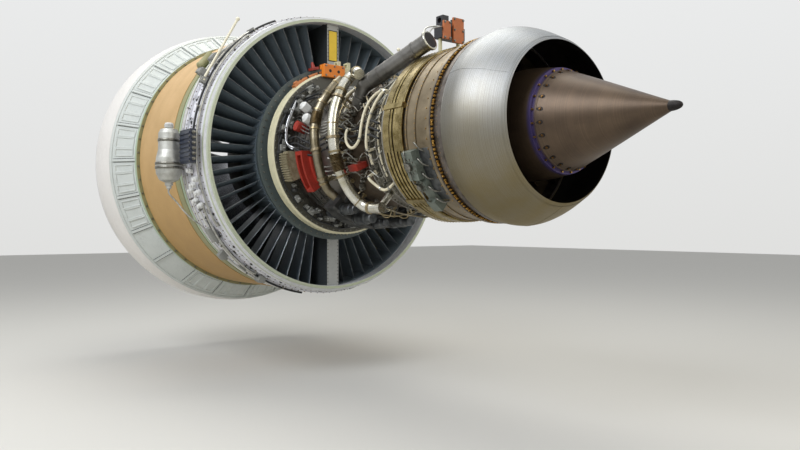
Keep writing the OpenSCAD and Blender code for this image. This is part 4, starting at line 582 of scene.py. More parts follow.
# Dark magnesium casting of the gearbox, sand-cast grain 4 mm
bare_metal("gearbox_metal", "sand_cast_magnesium", "#565654", "#343432", 90, 0.5, 4.0, 0.25, 0.75)
bare_metal("unit_metal", "dark_anodised_housing", "#6A6C6C", "#3E4042", 70, 0.42, 3.0, 0.12, 0.85)
bare_metal("fastener_dull", "dull_cadmium_fastener", "#8E8C84", "#5A5850", 12, 0.38, 0.8)
# Pale strips on the guide vanes' trailing edges: a painted highlight where the edges catch the light
bare_metal("vane_edge", "vane_edge_painted_highlight", "#C4C8CA", "#8C9092", 60, 0.38, 1.0, 0.05, 0.7)
# Near-black rubber of frames and clips; the same finish paints shade beside the bulkhead ribs and in the
# grip's holes
sprayed("hole_dark", "dark_rubber_and_painted_shade", "#1C1E1C", "#0E0F0E", 30, 0.7, 0.5)
print("finishes so far:", len(FINISH))

# %% [markdown]
# The nozzle is brushed nickel sheet. Its brushing runs round it, so the marks are noise stretched
# along the circumference, about 4 mm wide. Above it mirrors pale light. An olive-gold tint is mixed
# in: partly oxide film in cloudy patches, and partly a painted reflection of the floor that grows
# towards the bottom, strongest near the floor side.

# %% Nozzle sheet
tree, surface, place, parts = shader("nozzle_metal", "brushed_nickel_sheet", 0.3, 1.0)
brush = add(tree, "TexNoise", {"W": parts[0], "Scale": per_metre(4.0), "Detail": 8.0,
                               "Roughness": 0.75}, noise_dimensions="1D")
cloud = patches(tree, place, 420, 0.3, 0.72)
streak = add(tree, "MapRange", {"Value": brush, **MIDDLE})
# Painted reflection of the floor: the olive share grows from nothing at a height of 0.45 m to full at -0.65
# m, and is added to the oxide patches
low = add(tree, "MapRange", {"Value": parts[2], "From Min": 0.45, "From Max": -0.65})
tint_share = add(tree, "Math", {0: cloud, 1: 0.35, 2: low}, operation="MULTIPLY_ADD")
tint_share = add(tree, "Math", {0: tint_share, 1: 0.8}, operation="MULTIPLY", use_clamp=True)
sheet = blend(tree, streak, "#B6BABE", "#5A5D60")
feed(tree, surface, {"Base Color": blend(tree, tint_share, sheet, "#7C6E48")})
gloss(tree, surface, brush, 0.36, 0.6, **MIDDLE)
bump(tree, surface, brush, 0.08)
print("nozzle sheet:", FINISH["nozzle_metal"].name)

# %% [markdown]
# The plug is titanium sheet browned by exhaust. Rings a few millimetres wide run round it, wide
# bands drift between brown and grey, and just ahead of the bolted joint the oxide turns violet
# and blue, the colour of titanium heated to about 450 degrees.

# %% Plug sheet
VIOLET_X, VIOLET_HALF = 3.215, 0.035

tree, surface, place, parts = shader("plug_metal", "heat_browned_titanium", 0.5, 0.55)
rings = add(tree, "TexNoise", {"W": parts[0], "Scale": per_metre(9.0), "Detail": 7.0,
                               "Roughness": 0.75}, noise_dimensions="1D")
bands = add(tree, "TexNoise", {"W": parts[0], "Scale": per_metre(140.0), "Detail": 3.0,
                               "Roughness": 0.5}, noise_dimensions="1D")
cloud = patches(tree, place, 260, 0.3, 0.7)
drift = add(tree, "Math", {0: bands, 1: 0.6, 2: cloud}, operation="MULTIPLY_ADD")
drift = add(tree, "Math", {0: drift, 1: 0.62}, operation="MULTIPLY", use_clamp=True)
brown = blend(tree, drift, "#7B6650", "#4B3B2E")
brown = blend(tree, rings, "#3A3026", brown)
off = add(tree, "Math", {0: parts[0], 1: -VIOLET_X}, operation="ADD")
off = add(tree, "Math", {0: off}, operation="ABSOLUTE")
violet = add(tree, "MapRange", {"Value": off, "From Min": VIOLET_HALF,
                                "From Max": 0.0}, interpolation_type="SMOOTHSTEP")
violet = add(tree, "Math", {0: violet, 1: 0.6}, operation="MULTIPLY")
feed(tree, surface, {"Base Color": blend(tree, violet, brown, "#453F86")})
gloss(tree, surface, rings, 0.34, 0.5, **MIDDLE)
bump(tree, surface, rings, 0.12)
print("plug sheet:", FINISH["plug_metal"].name)

# %% [markdown]
# The containment wrap is dry ochre fibre cloth wound over the fan case. Its weave is too fine to
# show from six metres, so the crossing threads are drawn 9 mm apart, as coarse as they need to be,
# with soft cloudy stains where resin soaked in. The duct's acoustic lining has real holes of
# about 1.5 mm, drawn 7 mm apart for the same reason.

# %% Wrap, duct lining and foil
WRAP_R = 1.53
WEAVE_MM, HOLE_PITCH_MM = 9.0, 7.0

tree, surface, place, parts = shader("wrap_weave", "ochre_fibre_wrap", 0.62)
warp = add(tree, "Math", {0: parts[0], 1: 2 * math.pi * per_metre(WEAVE_MM)}, operation="MULTIPLY")
warp = add(tree, "Math", {0: warp}, operation="SINE")
turn = add(tree, "Math", {0: parts[1], 1: parts[2]}, operation="ARCTAN2")
weft = add(tree, "Math", {0: turn, 1: WRAP_R * 2 * math.pi * per_metre(WEAVE_MM)}, operation="MULTIPLY")
weft = add(tree, "Math", {0: weft}, operation="SINE")
cloth = add(tree, "Math", {0: warp, 1: weft}, operation="MULTIPLY")
thread = add(tree, "MapRange", {"Value": cloth, "From Min": -1.0})
stain = patches(tree, place, 260, 0.35, 0.75)
# Painted light from above: the cloth is coloured lighter towards the top, from a height of -1.4 m to 1.2 m
high = add(tree, "MapRange", {"Value": parts[2], "From Min": -1.4, "From Max": 1.2})
cloth_with_painted_light = blend(tree, high, "#AE8848", "#D2B080")
soaked = add(tree, "Math", {0: stain, 1: 0.4}, operation="MULTIPLY")
cloth_with_painted_light = blend(tree, soaked, cloth_with_painted_light, "#9C7A44")
faint = add(tree, "Math", {0: thread, 1: 0.12}, operation="MULTIPLY")
feed(tree, surface, {"Base Color": blend(tree, faint, cloth_with_painted_light, "#8E6028")})
bump(tree, surface, thread, 0.3)

tree, surface, place, parts = shader("duct_wall", "perforated_duct_lining", 0.5)
turn = add(tree, "Math", {0: parts[1], 1: parts[2]}, operation="ARCTAN2")
unrolled = add(tree, "CombineXYZ", {0: parts[0], 1: turn})
cells = add(tree, "TexVoronoi", {"Vector": unrolled, "Scale": per_metre(HOLE_PITCH_MM) / 2,
                                 "Randomness": 0.0})
hole = add(tree, "MapRange", {"Value": cells, "From Min": 0.12, "From Max": 0.2})
feed(tree, surface, {"Base Color": blend(tree, hole, "#5E6264", "#9EA2A2")})
bump(tree, surface, hole, 0.3)

# Gold-filmed band round the turbine case and the cooler's pleated tan sheet
bare_metal("gold_tube", "gold_filmed_band", "#A8986C", "#6E6038", 70, 0.3, 2.0)
bare_metal("cooler_tan", "tan_pleated_sheet", "#B4AA8E", "#857B5E", 60, 0.5, 2.0, 0.05, 0.4)
# Crinkled foil blanket with a lilac cast
tree, surface, place, _ = shader("foil_blanket", "crinkled_foil_blanket", 0.35, 0.2)
crease = add(tree, "TexVoronoi", {"Vector": place, "Scale": per_metre(60.0)}, feature="DISTANCE_TO_EDGE")
fold = add(tree, "MapRange", {"Value": crease, "From Max": 0.4})
feed(tree, surface, {"Base Color": blend(tree, patches(tree, place, 90), "#F2F1F5", "#D2D0D8")})
bump(tree, surface, fold, 2.0)
print("all finishes:", len(FINISH))

# %% [markdown]
# Each CAD node keeps its mesh and takes the finish of its material slot. The record names that
# slot, so the link between a node and its finish stays in one place.

# %% Finishes on the frame's nodes
slot_of = {part["node"]: part["material_slot"] for part in frame["record"]["subparts"]}
for name, thing in frame["nodes"].items():
    thing.data.materials.clear()
    thing.data.materials.append(FINISH[slot_of[name]])
print("nodes finished:", len(slot_of))

# %% Darker web inside the cream ring
def darker_inside(material, radius, colour):
    """Mixes a colour in where the distance from X, sqrt(y^2 + z^2), is under a radius in metres."""
    tree = material.node_tree
    surface = tree.nodes["Principled BSDF"]
    outside = surface.inputs["Base Color"].links[0].from_socket
    _, parts = where(tree)
    flat = add(tree, "CombineXYZ", {1: parts[1], 2: parts[2]})
    reach = add(tree, "VectorMath", {0: flat}, operation="LENGTH")
    share = add(tree, "MapRange", {"Value": reach.outputs["Value"], "From Min": radius - 0.002,
                                   "From Max": radius + 0.002})
    feed(tree, surface, {"Base Color": blend(tree, share, colour, outside)})


darker_inside(FINISH["ring_cream"], 0.858, "#4E4C42")

# Painted shade on the strut's side walls, which lie 75 mm off the middle: they are coloured dark as their
# unlit sides
tree = FINISH["strut_grey"].node_tree
surface = tree.nodes["Principled BSDF"]
front_grey = surface.inputs["Base Color"].links[0].from_socket
_, parts = where(tree)
aside = add(tree, "Math", {0: parts[1]}, operation="ABSOLUTE")
painted_shade_walls = add(tree, "MapRange", {"Value": aside, "From Min": 0.0735, "From Max": 0.0745})
feed(tree, surface, {"Base Color": blend(tree, painted_shade_walls, front_grey, "#34383A")})
print("ring web darkened inside radius 0.858 m")


def piece(name, shape, finish, body="root", stands_for=(), smooth_deg=38.0, bevel_mm=0.0):
    """One shape or a list as a mesh object with its finish, which rides on a body and hides the nodes it
    stands for.
    """
    points, faces = merge(*shape) if isinstance(shape, list) else shape
    triangle = faces[:, 3] < 0
    corners = faces.ravel()[faces.ravel() >= 0].astype(np.int32)
    sizes = np.where(triangle, 3, 4)
    mesh = bpy.data.meshes.new(name)
    mesh.vertices.add(len(points))
    mesh.vertices.foreach_set("co", np.ascontiguousarray(points, np.float32).ravel())
    mesh.loops.add(len(corners))
    mesh.loops.foreach_set("vertex_index", corners)
    mesh.polygons.add(len(faces))
    mesh.polygons.foreach_set("loop_start", np.r_[[0], np.cumsum(sizes)[:-1]].astype(np.int32))
    mesh.polygons.foreach_set("use_smooth", np.ones(len(faces), bool))
    mesh.update(calc_edges=True)
    mesh.set_sharp_from_angle(angle=math.radians(smooth_deg))
    mesh.materials.append(FINISH[finish])
    made = bpy.data.objects.new(name, mesh)
    scene.collection.objects.link(made)
    if bevel_mm:
        edge = made.modifiers.new("edge", "BEVEL")
        edge.width, edge.segments, edge.limit_method = bevel_mm / 1000.0, 2, "ANGLE"
        edge.harden_normals = False
    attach(made, body)
    if stands_for:
        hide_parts(*stands_for)
    tally[name] = int(sizes.sum() - 2 * len(faces))
    return made


tally = {}
print("piece() is ready")

# %% [markdown]
# The inlet cowl is two skins of revolution: an elliptical nose ring and a slightly barrelled outer
# skin. The construction holds them as short cones; here the same formulas are sampled finely, so
# the long reflections run without kinks. A lathe is the right way because a spinning lathe or a
# stretch press made the real ones.

# %% Cowl curves
LIP_X, COWL_MAX_X, COWL_AFT_X = -3.120, -2.560, -2.270
HIGHLIGHT_R, COWL_R, COWL_AFT_R = 1.575, 1.800, 1.768
THROAT_X, THROAT_R = -2.800, 1.440
FAN_BORE_R = 1.481
FLANGE_X, ATTACH_W = -1.904, 0.056
SKIN_T = 0.009


def cowl_outer(x):
    """Outer radius: a quarter ellipse from lip to largest station, then a parabola to the aft edge."""
    nose = HIGHLIGHT_R + (COWL_R - HIGHLIGHT_R) * np.sqrt(
        np.clip(1 - ((COWL_MAX_X - x) / (COWL_MAX_X - LIP_X)) ** 2, 0, 1))
    tail = COWL_R - (COWL_R - COWL_AFT_R) * ((x - COWL_MAX_X) / (COWL_AFT_X - COWL_MAX_X)) ** 2
    return np.where(x < COWL_MAX_X, nose, tail)


def ease(s):
    """Smooth step from 0 to 1: 3 s^2 - 2 s^3."""
    return s * s * (3 - 2 * s)


def cowl_inner(x):
    """Inner radius: a quarter ellipse from lip to throat, then an eased flare to the fan's bore."""
    nose = HIGHLIGHT_R - (HIGHLIGHT_R - THROAT_R) * np.sqrt(
        np.clip(1 - ((THROAT_X - x) / (THROAT_X - LIP_X)) ** 2, 0, 1))
    flare = THROAT_R + (FAN_BORE_R - THROAT_R) * ease(np.clip((x - THROAT_X) / (FLANGE_X - THROAT_X), 0, 1))
    return np.where(x < THROAT_X, nose, flare)


nose_x = LIP_X + (THROAT_X - LIP_X) * np.linspace(0, 1, 26) ** 2
hollow = np.r_[np.c_[nose_x[:8:-1], cowl_inner(nose_x[:8:-1]) + SKIN_T],
               np.c_[nose_x[9:], cowl_outer(nose_x[9:]) - SKIN_T]]
outline = np.r_[np.c_[nose_x[::-1], cowl_outer(nose_x[::-1])],
                np.c_[nose_x[1:], cowl_inner(nose_x[1:])], hollow]
piece("nose_ring", lathe(outline, 256), "lip_metal", stands_for=["inlet_lip"], smooth_deg=60)
skin_x = np.linspace(THROAT_X, COWL_AFT_X, 30)
skin_r = cowl_outer(skin_x)
outer_skin = np.r_[np.c_[skin_x, skin_r], np.c_[skin_x, skin_r - SKIN_T][::-1]]
piece("outer_skin", lathe(outer_skin, 240), "cowl_paint", stands_for=["inlet_outer_skin"], smooth_deg=60)
print("cowl skins:", tally["nose_ring"] + tally["outer_skin"], "triangles")

# %% [markdown]
# Fasteners are what gives an engine its scale. Three kinds do for all of it: a hexagon bolt with
# its washer, a flush rivet's low dome, and a nut with its stud's end. Each has a few dozen faces,
# because it is copied hundreds of times.

# %% Fastener shapes
def hex_bolt(across, height):
    """A washer under a chamfered hexagon head; across is the head's width over its corners."""
    washer = turned([[across * 0.62, 0], [across * 0.62, height * 0.18]], 10)
    head = turned([[across * 0.5, height * 0.18], [across * 0.5, height * 0.85], [across * 0.4, height]], 6)
    return merge(washer, head)


def dome(radius, height, sides=8):
    """A low domed rivet head."""
    return turned([[radius, 0], [radius * 0.8, height * 0.7], [radius * 0.35, height]], sides)


def stud_nut(across, height, stud):
    """A hexagon nut with the end of its stud showing."""
    return merge(turned([[across * 0.5, 0], [across * 0.5, height]], 6),
                 turned([[across * 0.26, height], [across * 0.22, height + stud]], 8))


print("fasteners: hex_bolt, dome, stud_nut")

# %% [markdown]
# Behind the outer skin a ribbed conical bulkhead closes the cowl. Its bays carry pressed beads in
# pairs, each bay is framed by small angle sections riveted on, and a green ring bolts the whole
# inlet to the fan case through dark bolts about every six degrees.

# %% Bulkhead fittings
BULK_IN = (FLANGE_X - ATTACH_W, FAN_BORE_R + 0.0423)
BULK_OUT = (COWL_AFT_X - 0.002, COWL_AFT_R - SKIN_T - 0.0003)
BAYS = 24
bulk_slope = math.atan2(BULK_IN[0] - BULK_OUT[0], BULK_OUT[1] - BULK_IN[1])
bulk_length = math.hypot(BULK_IN[0] - BULK_OUT[0], BULK_OUT[1] - BULK_IN[1])


def on_bulkhead(clock, along):
    """Frames on the bulkhead's cone: local X points out along the slope, local Z out of its face."""
    clock, along = np.broadcast_arrays(np.asarray(clock, float), np.asarray(along, float))
    sin, cos = math.sin(bulk_slope), math.cos(bulk_slope)
    return on_slope(BULK_IN[0] - along * sin, clock, BULK_IN[1] + along * cos, (-sin, cos))


bay_clocks = around(BAYS)
RIB_TOP = 0.0175
rivet_rows = np.linspace(0.05, bulk_length - 0.06, 9)
clock, along = np.meshgrid(bay_clocks, rivet_rows, indexing="ij")
BAY_MEAN_R, RIVET_OFF = 1.62, 0.022
spread = np.degrees(RIVET_OFF / BAY_MEAN_R)
sites = np.concatenate([on_bulkhead(clock.ravel() + s * spread, along.ravel()) for s in (-1, 1)])
piece("bulkhead_rivets", copies(dome(0.0045, 0.002), sites), "bulkhead_paint")
angle_half = 0.017
foot = block((0.034, -angle_half, 0.0004), (bulk_length - 0.042, angle_half, 0.0035))
cap = block((0.03, -0.013, RIB_TOP - 0.002), (bulk_length - 0.05, 0.013, RIB_TOP + 0.0015))
piece("rib_angles", copies(merge(foot, cap), on_bulkhead(bay_clocks, 0.0)), "bulkhead_paint", bevel_mm=1.0)


def bead(length, width, height):
    """A pressed bead: a half-round ridge with tapering round ends, its axis along local X."""
    t = np.linspace(0, np.pi, 18)
    x = length * (0.5 - 0.5 * np.cos(t))
    size = np.sqrt(np.clip(np.sin(t), 0.02, 1))
    a = np.linspace(0, np.pi, 9)
    points = np.stack([np.broadcast_to(x[:, None], (18, 9)), width * size[:, None] * np.cos(a),
                       height * size[:, None] * np.sin(a)], -1).reshape(-1, 3)
    ends = points.reshape(18, 9, 3)[[0, -1]].mean(1)
    rim = np.arange(18) * 9
    faces = np.r_[grid_faces(18, 9), np.stack([rim[:-1], rim[1:], rim[1:] + 8, rim[:-1] + 8], -1),
                  fan_faces(np.arange(9)[::-1], 162), fan_faces(np.arange(153, 162), 163)]
    return outward((np.r_[points, ends], faces))


panel_bays = (8, 9)
beaded = [k for k in range(BAYS) if k not in panel_bays]
long_bead = bead(bulk_length - 0.13, 0.012, 0.012)
short_points, short_faces = bead(0.105, 0.011, 0.011)
across_bead = outward((short_points[:, [1, 0, 2]] - [0, 0.0525, 0], short_faces))
sides = [on_bulkhead((k + 0.5 + s) * 360 / BAYS, 0.065) for k in beaded for s in (-0.37, -0.14, 0.14, 0.37)]
ends = [on_bulkhead((k + 0.5 + s) * 360 / BAYS, a) for k in beaded for s in (-0.255, 0.0, 0.255)
        for a in (0.075, bulk_length - 0.075)]
piece("bulkhead_beads", [copies(long_bead, sides), copies(across_bead, ends)], "bulkhead_paint")
inner_land = lathe([[BULK_IN[0] + dx, BULK_IN[1] + dr] for dx, dr in (
    (-0.004, 0.001), (-0.026, 0.028), (-0.020, 0.032), (0.004, 0.004))], 240)
outer_at = bulk_length - 0.03
edge_x = BULK_IN[0] - outer_at * math.sin(bulk_slope)
edge_r = BULK_IN[1] + outer_at * math.cos(bulk_slope)
outer_land = lathe([[edge_x + dx, edge_r + dr] for dx, dr in (
    (0, 0), (-0.018, 0.022), (-0.012, 0.027), (0.006, 0.005))], 240)
piece("bulkhead_lands", inner_land, "primer_green")
piece("bulkhead_edge", outer_land, "bulkhead_paint")
# Painted shadow: a thin dark strip along each side of every rib stands for the shadow beside it
gap = merge(*[block((0.036, y, 0.0004), (bulk_length - 0.044, y + 0.007, 0.0010))
              for y in (angle_half + 0.0005, -angle_half - 0.0075)])
piece("rib_painted_shadows", copies(gap, on_bulkhead(bay_clocks, 0.0)), "hole_dark")
ring_bolts = rearward(hex_bolt(0.022, 0.014), FLANGE_X - ATTACH_W + 0.002, around(60, 3), 1.5095)
flange_heads = rearward(hex_bolt(0.020, 0.013), -1.886, around(60, 3), 1.546)
piece("inlet_bolts", [ring_bolts, flange_heads], "fastener_dull")
clip = merge(block((-0.012, -0.02, 0), (0.03, 0.02, 0.003)), block((-0.012, -0.02, 0), (-0.009, 0.02, 0.02)))
clips = standing(clip, -1.958, around(60, 0.0), BULK_IN[1] + 0.001)
piece("ring_clips", clips, "harness_black")
print("bulkhead:", tally["bulkhead_rivets"] + tally["bulkhead_beads"], "triangles")

# %% [markdown]
# The nozzle swells behind the turbine and then draws in to its exit in one long curve. It is spun
# and brushed sheet with a folded exit edge. A plain band rings its front rim, and a
# lengthwise weld shows where the sheet was joined.

# %% Nozzle
NOZZLE_X, NOZZLE_EXIT_X = 2.640, 3.200
NOZZLE_FRONT_R, NOZZLE_BULGE_R, NOZZLE_EXIT_R = 0.766, 0.792, 0.625
NOZZLE_T = 0.009


def nozzle_r(s):
    """Outer radius: a sine rise to the swelling over the first 0.3, then a 1.55 power fall."""
    rise = NOZZLE_FRONT_R + (NOZZLE_BULGE_R - NOZZLE_FRONT_R) * np.sin(np.pi / 2 * np.clip(s / 0.3, 0, 1))
    fall = NOZZLE_EXIT_R + (NOZZLE_BULGE_R - NOZZLE_EXIT_R) * (1 - np.clip((s - 0.3) / 0.7, 0, 1) ** 1.55)
    return np.where(s < 0.3, rise, fall)


s = np.linspace(0, 1, 44)
nozzle_xs = NOZZLE_X + (NOZZLE_EXIT_X - NOZZLE_X) * s
outside = np.c_[nozzle_xs, nozzle_r(s)]
lip_edge = np.array([[NOZZLE_EXIT_X - 0.001, NOZZLE_EXIT_R - 0.003],
                     [NOZZLE_EXIT_X - 0.001, NOZZLE_EXIT_R - NOZZLE_T + 0.003]])
inside = np.c_[nozzle_xs[::-1], nozzle_r(s[::-1]) - NOZZLE_T]
piece("nozzle_sheet", lathe(np.r_[outside[:-1], [[NOZZLE_EXIT_X - 0.004, NOZZLE_EXIT_R]], lip_edge,
                                  inside[1:]], 256), "nozzle_metal",
      stands_for=["exhaust_nozzle"], smooth_deg=50)
weld_path = np.c_[nozzle_xs[2:-2], nozzle_r(s[2:-2]) + 0.0002]
welds = [sweep(on_clock(weld_path[:, 0], c, weld_path[:, 1]), 0.0016, 6) for c in (62, 182, 302)]
SEAM = ((0, 0), (0.002, 0.0012), (0.004, 0))
seams = [lathe([[x + dx, nozzle_r((x - NOZZLE_X) / (NOZZLE_EXIT_X - NOZZLE_X)) + dr] for dx, dr in SEAM])
         for x in (2.672, 3.168)]
piece("nozzle_welds", [*welds, *seams], "nozzle_metal")
rim = lathe([[NOZZLE_X + dx, NOZZLE_FRONT_R + dr] for dx, dr in (
    (0, 0.0085), (0.024, 0.0085), (0.026, 0.0065), (0.026, 0.002), (0, 0.0005))])
piece("nozzle_rim", rim, "frame_steel")
print("nozzle:", tally["nozzle_sheet"], "triangles")

# %% [markdown]
# Looked into from behind, the exhaust is black with soot: the inner wall of the nozzle, the frame's
# thirteen struts and the last turbine blades. A lining a little inside the bright sheet carries
# that soot, so the outside can stay polished.

# %% Sooty inside
bare_metal("soot", "soot_baked_liner", "#2A2624", "#161412", 160, 0.55, 3.0, 0.1, 0.6)
lining_s = np.linspace(0.02, 0.985, 36)
lx = NOZZLE_X + (NOZZLE_EXIT_X - NOZZLE_X) * lining_s
lining = np.r_[np.c_[lx, nozzle_r(lining_s) - NOZZLE_T - 0.0004],
               np.c_[lx[::-1], nozzle_r(lining_s[::-1]) - NOZZLE_T - 0.0034]]
piece("nozzle_lining", lathe(lining), "soot", smooth_deg=50)
print("lining:", tally["nozzle_lining"], "triangles")

# %% [markdown]
# The plug is a long cone on a short swelling drum. They are bolted together through a row of dark
# scalloped pockets, and the tip is a small dark cap. The cone is very slightly barrelled where it
# starts and straight towards the tip.

# %% Plug
JOINT_X, JOINT_R = 3.250, 0.380
TIP_X = 4.177
EXHAUST_HUB_R = 0.392


def plug_r(s):
    """Drum radius: the hub's, plus a sine swelling skewed forward, less a straight draw to the joint."""
    return EXHAUST_HUB_R + 0.044 * np.sin(np.pi * s ** 0.8) - (EXHAUST_HUB_R - JOINT_R - 0.022) * s


def cone_r(x):
    """Cone radius: straight from the joint to the cap, with a 4 mm swelling near its start."""
    s = (x - JOINT_X) / (TIP_X - 0.09 - JOINT_X)
    return JOINT_R + (0.0365 - JOINT_R) * s + 0.004 * np.sin(np.pi * np.clip(s, 0, 1)) * (1 - s)


s = np.linspace(0, 1, 36)
drum_x = NOZZLE_X + (JOINT_X - 0.030 - NOZZLE_X) * s
drum = np.c_[drum_x, plug_r(s)]
drum_in = np.c_[drum_x[::-1], plug_r(s[::-1]) - 0.012]
joint = [[JOINT_X + dx, JOINT_R + dr] for dx, dr in (
    (-0.030, 0.002), (-0.006, -0.002), (0, -0.004), (0, -0.036), (-0.034, -0.036))]
piece("plug_drum", lathe(np.r_[drum, joint, drum_in]), "plug_metal", stands_for=["plug_front"], smooth_deg=50)
cone_x = np.linspace(JOINT_X + 0.001, TIP_X - 0.09, 46)
cone = np.c_[cone_x, cone_r(cone_x)]
cone_in = np.c_[cone_x[::-1], np.maximum(cone_r(cone_x[::-1]) - 0.01, 0.004)]
piece("plug_cone_sheet", lathe(np.r_[cone, cone_in]), "plug_metal", stands_for=["plug_cone"], smooth_deg=50)
t = np.linspace(0, np.pi / 2, 12)
cap = np.c_[TIP_X - 0.092 + 0.091 * np.sin(t), 0.036 * np.cos(t) ** 0.85]
cap[-1, 1] = 0.0004
piece("plug_tip_cap", lathe(np.r_[cap, [[TIP_X - 0.092, 0.0004]]], 48), "soot")
print("plug:", tally["plug_drum"] + tally["plug_cone_sheet"], "triangles")

# %% [markdown]
# Each joint bolt sits in a pocket pressed into the sheet. From behind the pocket shows as a dark
# oval with the bolt's head in it. The pockets are dark flat pads a hair proud of the cone, because
# cutting them into a turned surface would pinch its smooth shading.

# %% Joint pockets and bolts
def pocket(length, width, height):
    """A flat teardrop of the given height: an oval outline, wider aft."""
    a = np.linspace(0, 2 * np.pi, 20, endpoint=False)
    wide = 1 + 0.25 * np.cos(a)
    return plate(np.c_[0.5 * length * np.cos(a), 0.5 * width * np.sin(a) * wide], 0.0, height)


def on_cone(x, clock, lift=0.0):
    """Frames on the cone's face: local X along the slope to the tip, local Z out of the sheet."""
    slope = math.atan2(cone_r(x) - cone_r(x + 0.05), 0.05)
    return on_slope(x, clock, cone_r(x), (math.cos(slope), -math.sin(slope)), lift)


joint_clocks = around(24, 7.5)
piece("joint_pockets", copies(pocket(0.052, 0.030, 0.0012), on_cone(JOINT_X + 0.030, joint_clocks)),
      "soot")
piece("joint_bolts", copies(hex_bolt(0.017, 0.008), on_cone(JOINT_X + 0.032, joint_clocks, 0.0010)),
      "nut_dark")
band = lathe([[JOINT_X - 0.0005, JOINT_R - 0.002], [JOINT_X - 0.0005, cone_r(JOINT_X) + 0.0012],
              [JOINT_X + 0.008, cone_r(JOINT_X + 0.008) + 0.0012],
              [JOINT_X + 0.009, cone_r(JOINT_X + 0.009)]])
piece("joint_band", band, "plug_metal")
print("plug joint:", len(joint_clocks), "pockets")

# %% [markdown]
# Fifty-six outlet guide vanes stand in the bypass duct, slate grey and gently cambered, and pale
# strips along their rear edges are painted highlights. The outline is the same slender aerofoil that
# the construction uses, sampled more finely, swept straight up and turned by the stagger angle.

# %% Guide vanes
HUB_R, VANE_RING_T, EXIT_BORE_R = 0.866, 0.007, 1.460
VANE_AFT_X, VANE_LEN = -0.185, 0.330
VANE_STAGGER = math.radians(10)
VANE_PLACES = 60


def aerofoil(chord, thick, camber, n=14):
    """Closed outline from nose to tail and back: parabolic camber, and thickness 1.3 t s (1 - s^2)."""
    s = np.linspace(0, 1, n)
    c = s * s
    upper = np.c_[c * chord, camber * 4 * c * (1 - c) + thick * 1.3 * s * (1 - c)]
    lower = np.c_[c * chord, camber * 4 * c * (1 - c) - thick * 1.3 * s * (1 - c)]
    return np.r_[upper, lower[-2:0:-1]]


def extrude_radially(outline, r_from, r_to):
    """An outline in local X and Y, turned by the stagger and carried up between two radii."""
    sin, cos = math.sin(VANE_STAGGER), math.cos(VANE_STAGGER)
    turn = np.array([[cos, -sin], [sin, cos]])
    return plate(outline @ turn.T + [VANE_AFT_X - VANE_LEN, 0], r_from, r_to)


def spun(clocks):
    """Frames that only turn a shape drawn at twelve o'clock round to each clock angle."""
    c = np.radians(np.atleast_1d(clocks))
    out = np.tile(np.eye(4), (len(c), 1, 1))
    out[:, 1, 1], out[:, 1, 2], out[:, 2, 1], out[:, 2, 2] = np.cos(c), -np.sin(c), np.sin(c), np.cos(c)
    return out


vane_clocks = np.array([k * 6.0 for k in range(VANE_PLACES) if k % 30 > 1])
root_r, tip_r = HUB_R + VANE_RING_T - 0.001, EXIT_BORE_R - VANE_RING_T + 0.001
vane = extrude_radially(aerofoil(VANE_LEN - 0.006, 0.016, -0.016), root_r, tip_r)
piece("vane_blades", copies(vane, spun(vane_clocks)), "vane_slate", smooth_deg=50)
# Pale strips along each vane's rear edge: a painted highlight
edge_section = np.array([[-0.012, -0.0016], [-0.001, -0.0012], [0, 0], [-0.001, 0.0012], [-0.012, 0.0026]])
edge_section += [VANE_LEN, 0]
edge = extrude_radially(edge_section, root_r, tip_r)
piece("vane_edges", copies(edge, spun(vane_clocks)), "vane_edge")
RING_FRONT_X, SKIN_GAP = -0.545, 0.0003
ring_in = hoop(RING_FRONT_X, VANE_AFT_X, HUB_R + SKIN_GAP, HUB_R + VANE_RING_T, 180)
ring_out = hoop(RING_FRONT_X, VANE_AFT_X + 0.03, EXIT_BORE_R - VANE_RING_T, EXIT_BORE_R - SKIN_GAP, 180)
shoe = plate([[0, -0.011], [0.30, -0.011], [0.33, 0.0], [0.30, 0.011], [0, 0.011]], 0, 0.006)
shoes = standing(shoe, VANE_AFT_X - VANE_LEN + 0.004, vane_clocks + 0.6, HUB_R + VANE_RING_T)
made = piece("vane_rings", [ring_in, ring_out, shoes], "vane_slate")
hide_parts("outlet_guide_vanes")
print("guide vanes:", len(vane_clocks))

# %% [markdown]
# The fan's wide titanium blades twist from root to tip. Each is a grid: aerofoil sections whose
# chord, angle, sweep and thickness follow the height, wrapped round the centreline. Although they
# hide behind the guide vanes, they show through the inlet and between the vanes.

# %% Fan blades
FAN_BLADES = 24
HUB_FRONT_X, HUB_REAR_X = -1.720, -1.310
HUB_FRONT_R, HUB_REAR_R = 0.430, 0.520
BLADE_TIP_R = 1.475


def blade_grid(rows=22, half=12):
    """Points (x, -r sin a, r cos a) where x and the arc a come from each section's turned outline."""
    s = np.linspace(0, 1, rows)[:, None]
    u = np.linspace(0, 1, half)
    c = u * u
    c = np.r_[c, c[-2:0:-1]][None, :]
    side = np.r_[np.ones(half), -np.ones(half - 2)][None, :]
    chord = 0.400 + 0.160 * ease(s)
    thick = (0.030 - 0.022 * s) * 1.3
    along = c * chord - 0.5 * chord
    across = 0.022 * 4 * c * (1 - c) + side * thick * np.sqrt(c) * (1 - c)
    angle = np.radians(16 + 46 * s ** 0.85)
    x = along * np.cos(angle) - across * np.sin(angle) + 0.5 * (HUB_FRONT_X + HUB_REAR_X)
    x = x + 0.070 * s * s - 0.060 * s
    rise = np.clip((x - HUB_FRONT_X) / (HUB_REAR_X - HUB_FRONT_X), 0, 1)
    hub = HUB_FRONT_R + (HUB_REAR_R - HUB_FRONT_R) * rise
    r = hub + 0.0009 + (BLADE_TIP_R - hub - 0.0009) * s
    arc = (along * np.sin(angle) + across * np.cos(angle)) / r
    return closed_grid(np.stack([x, -r * np.sin(arc), r * np.cos(arc)], -1))


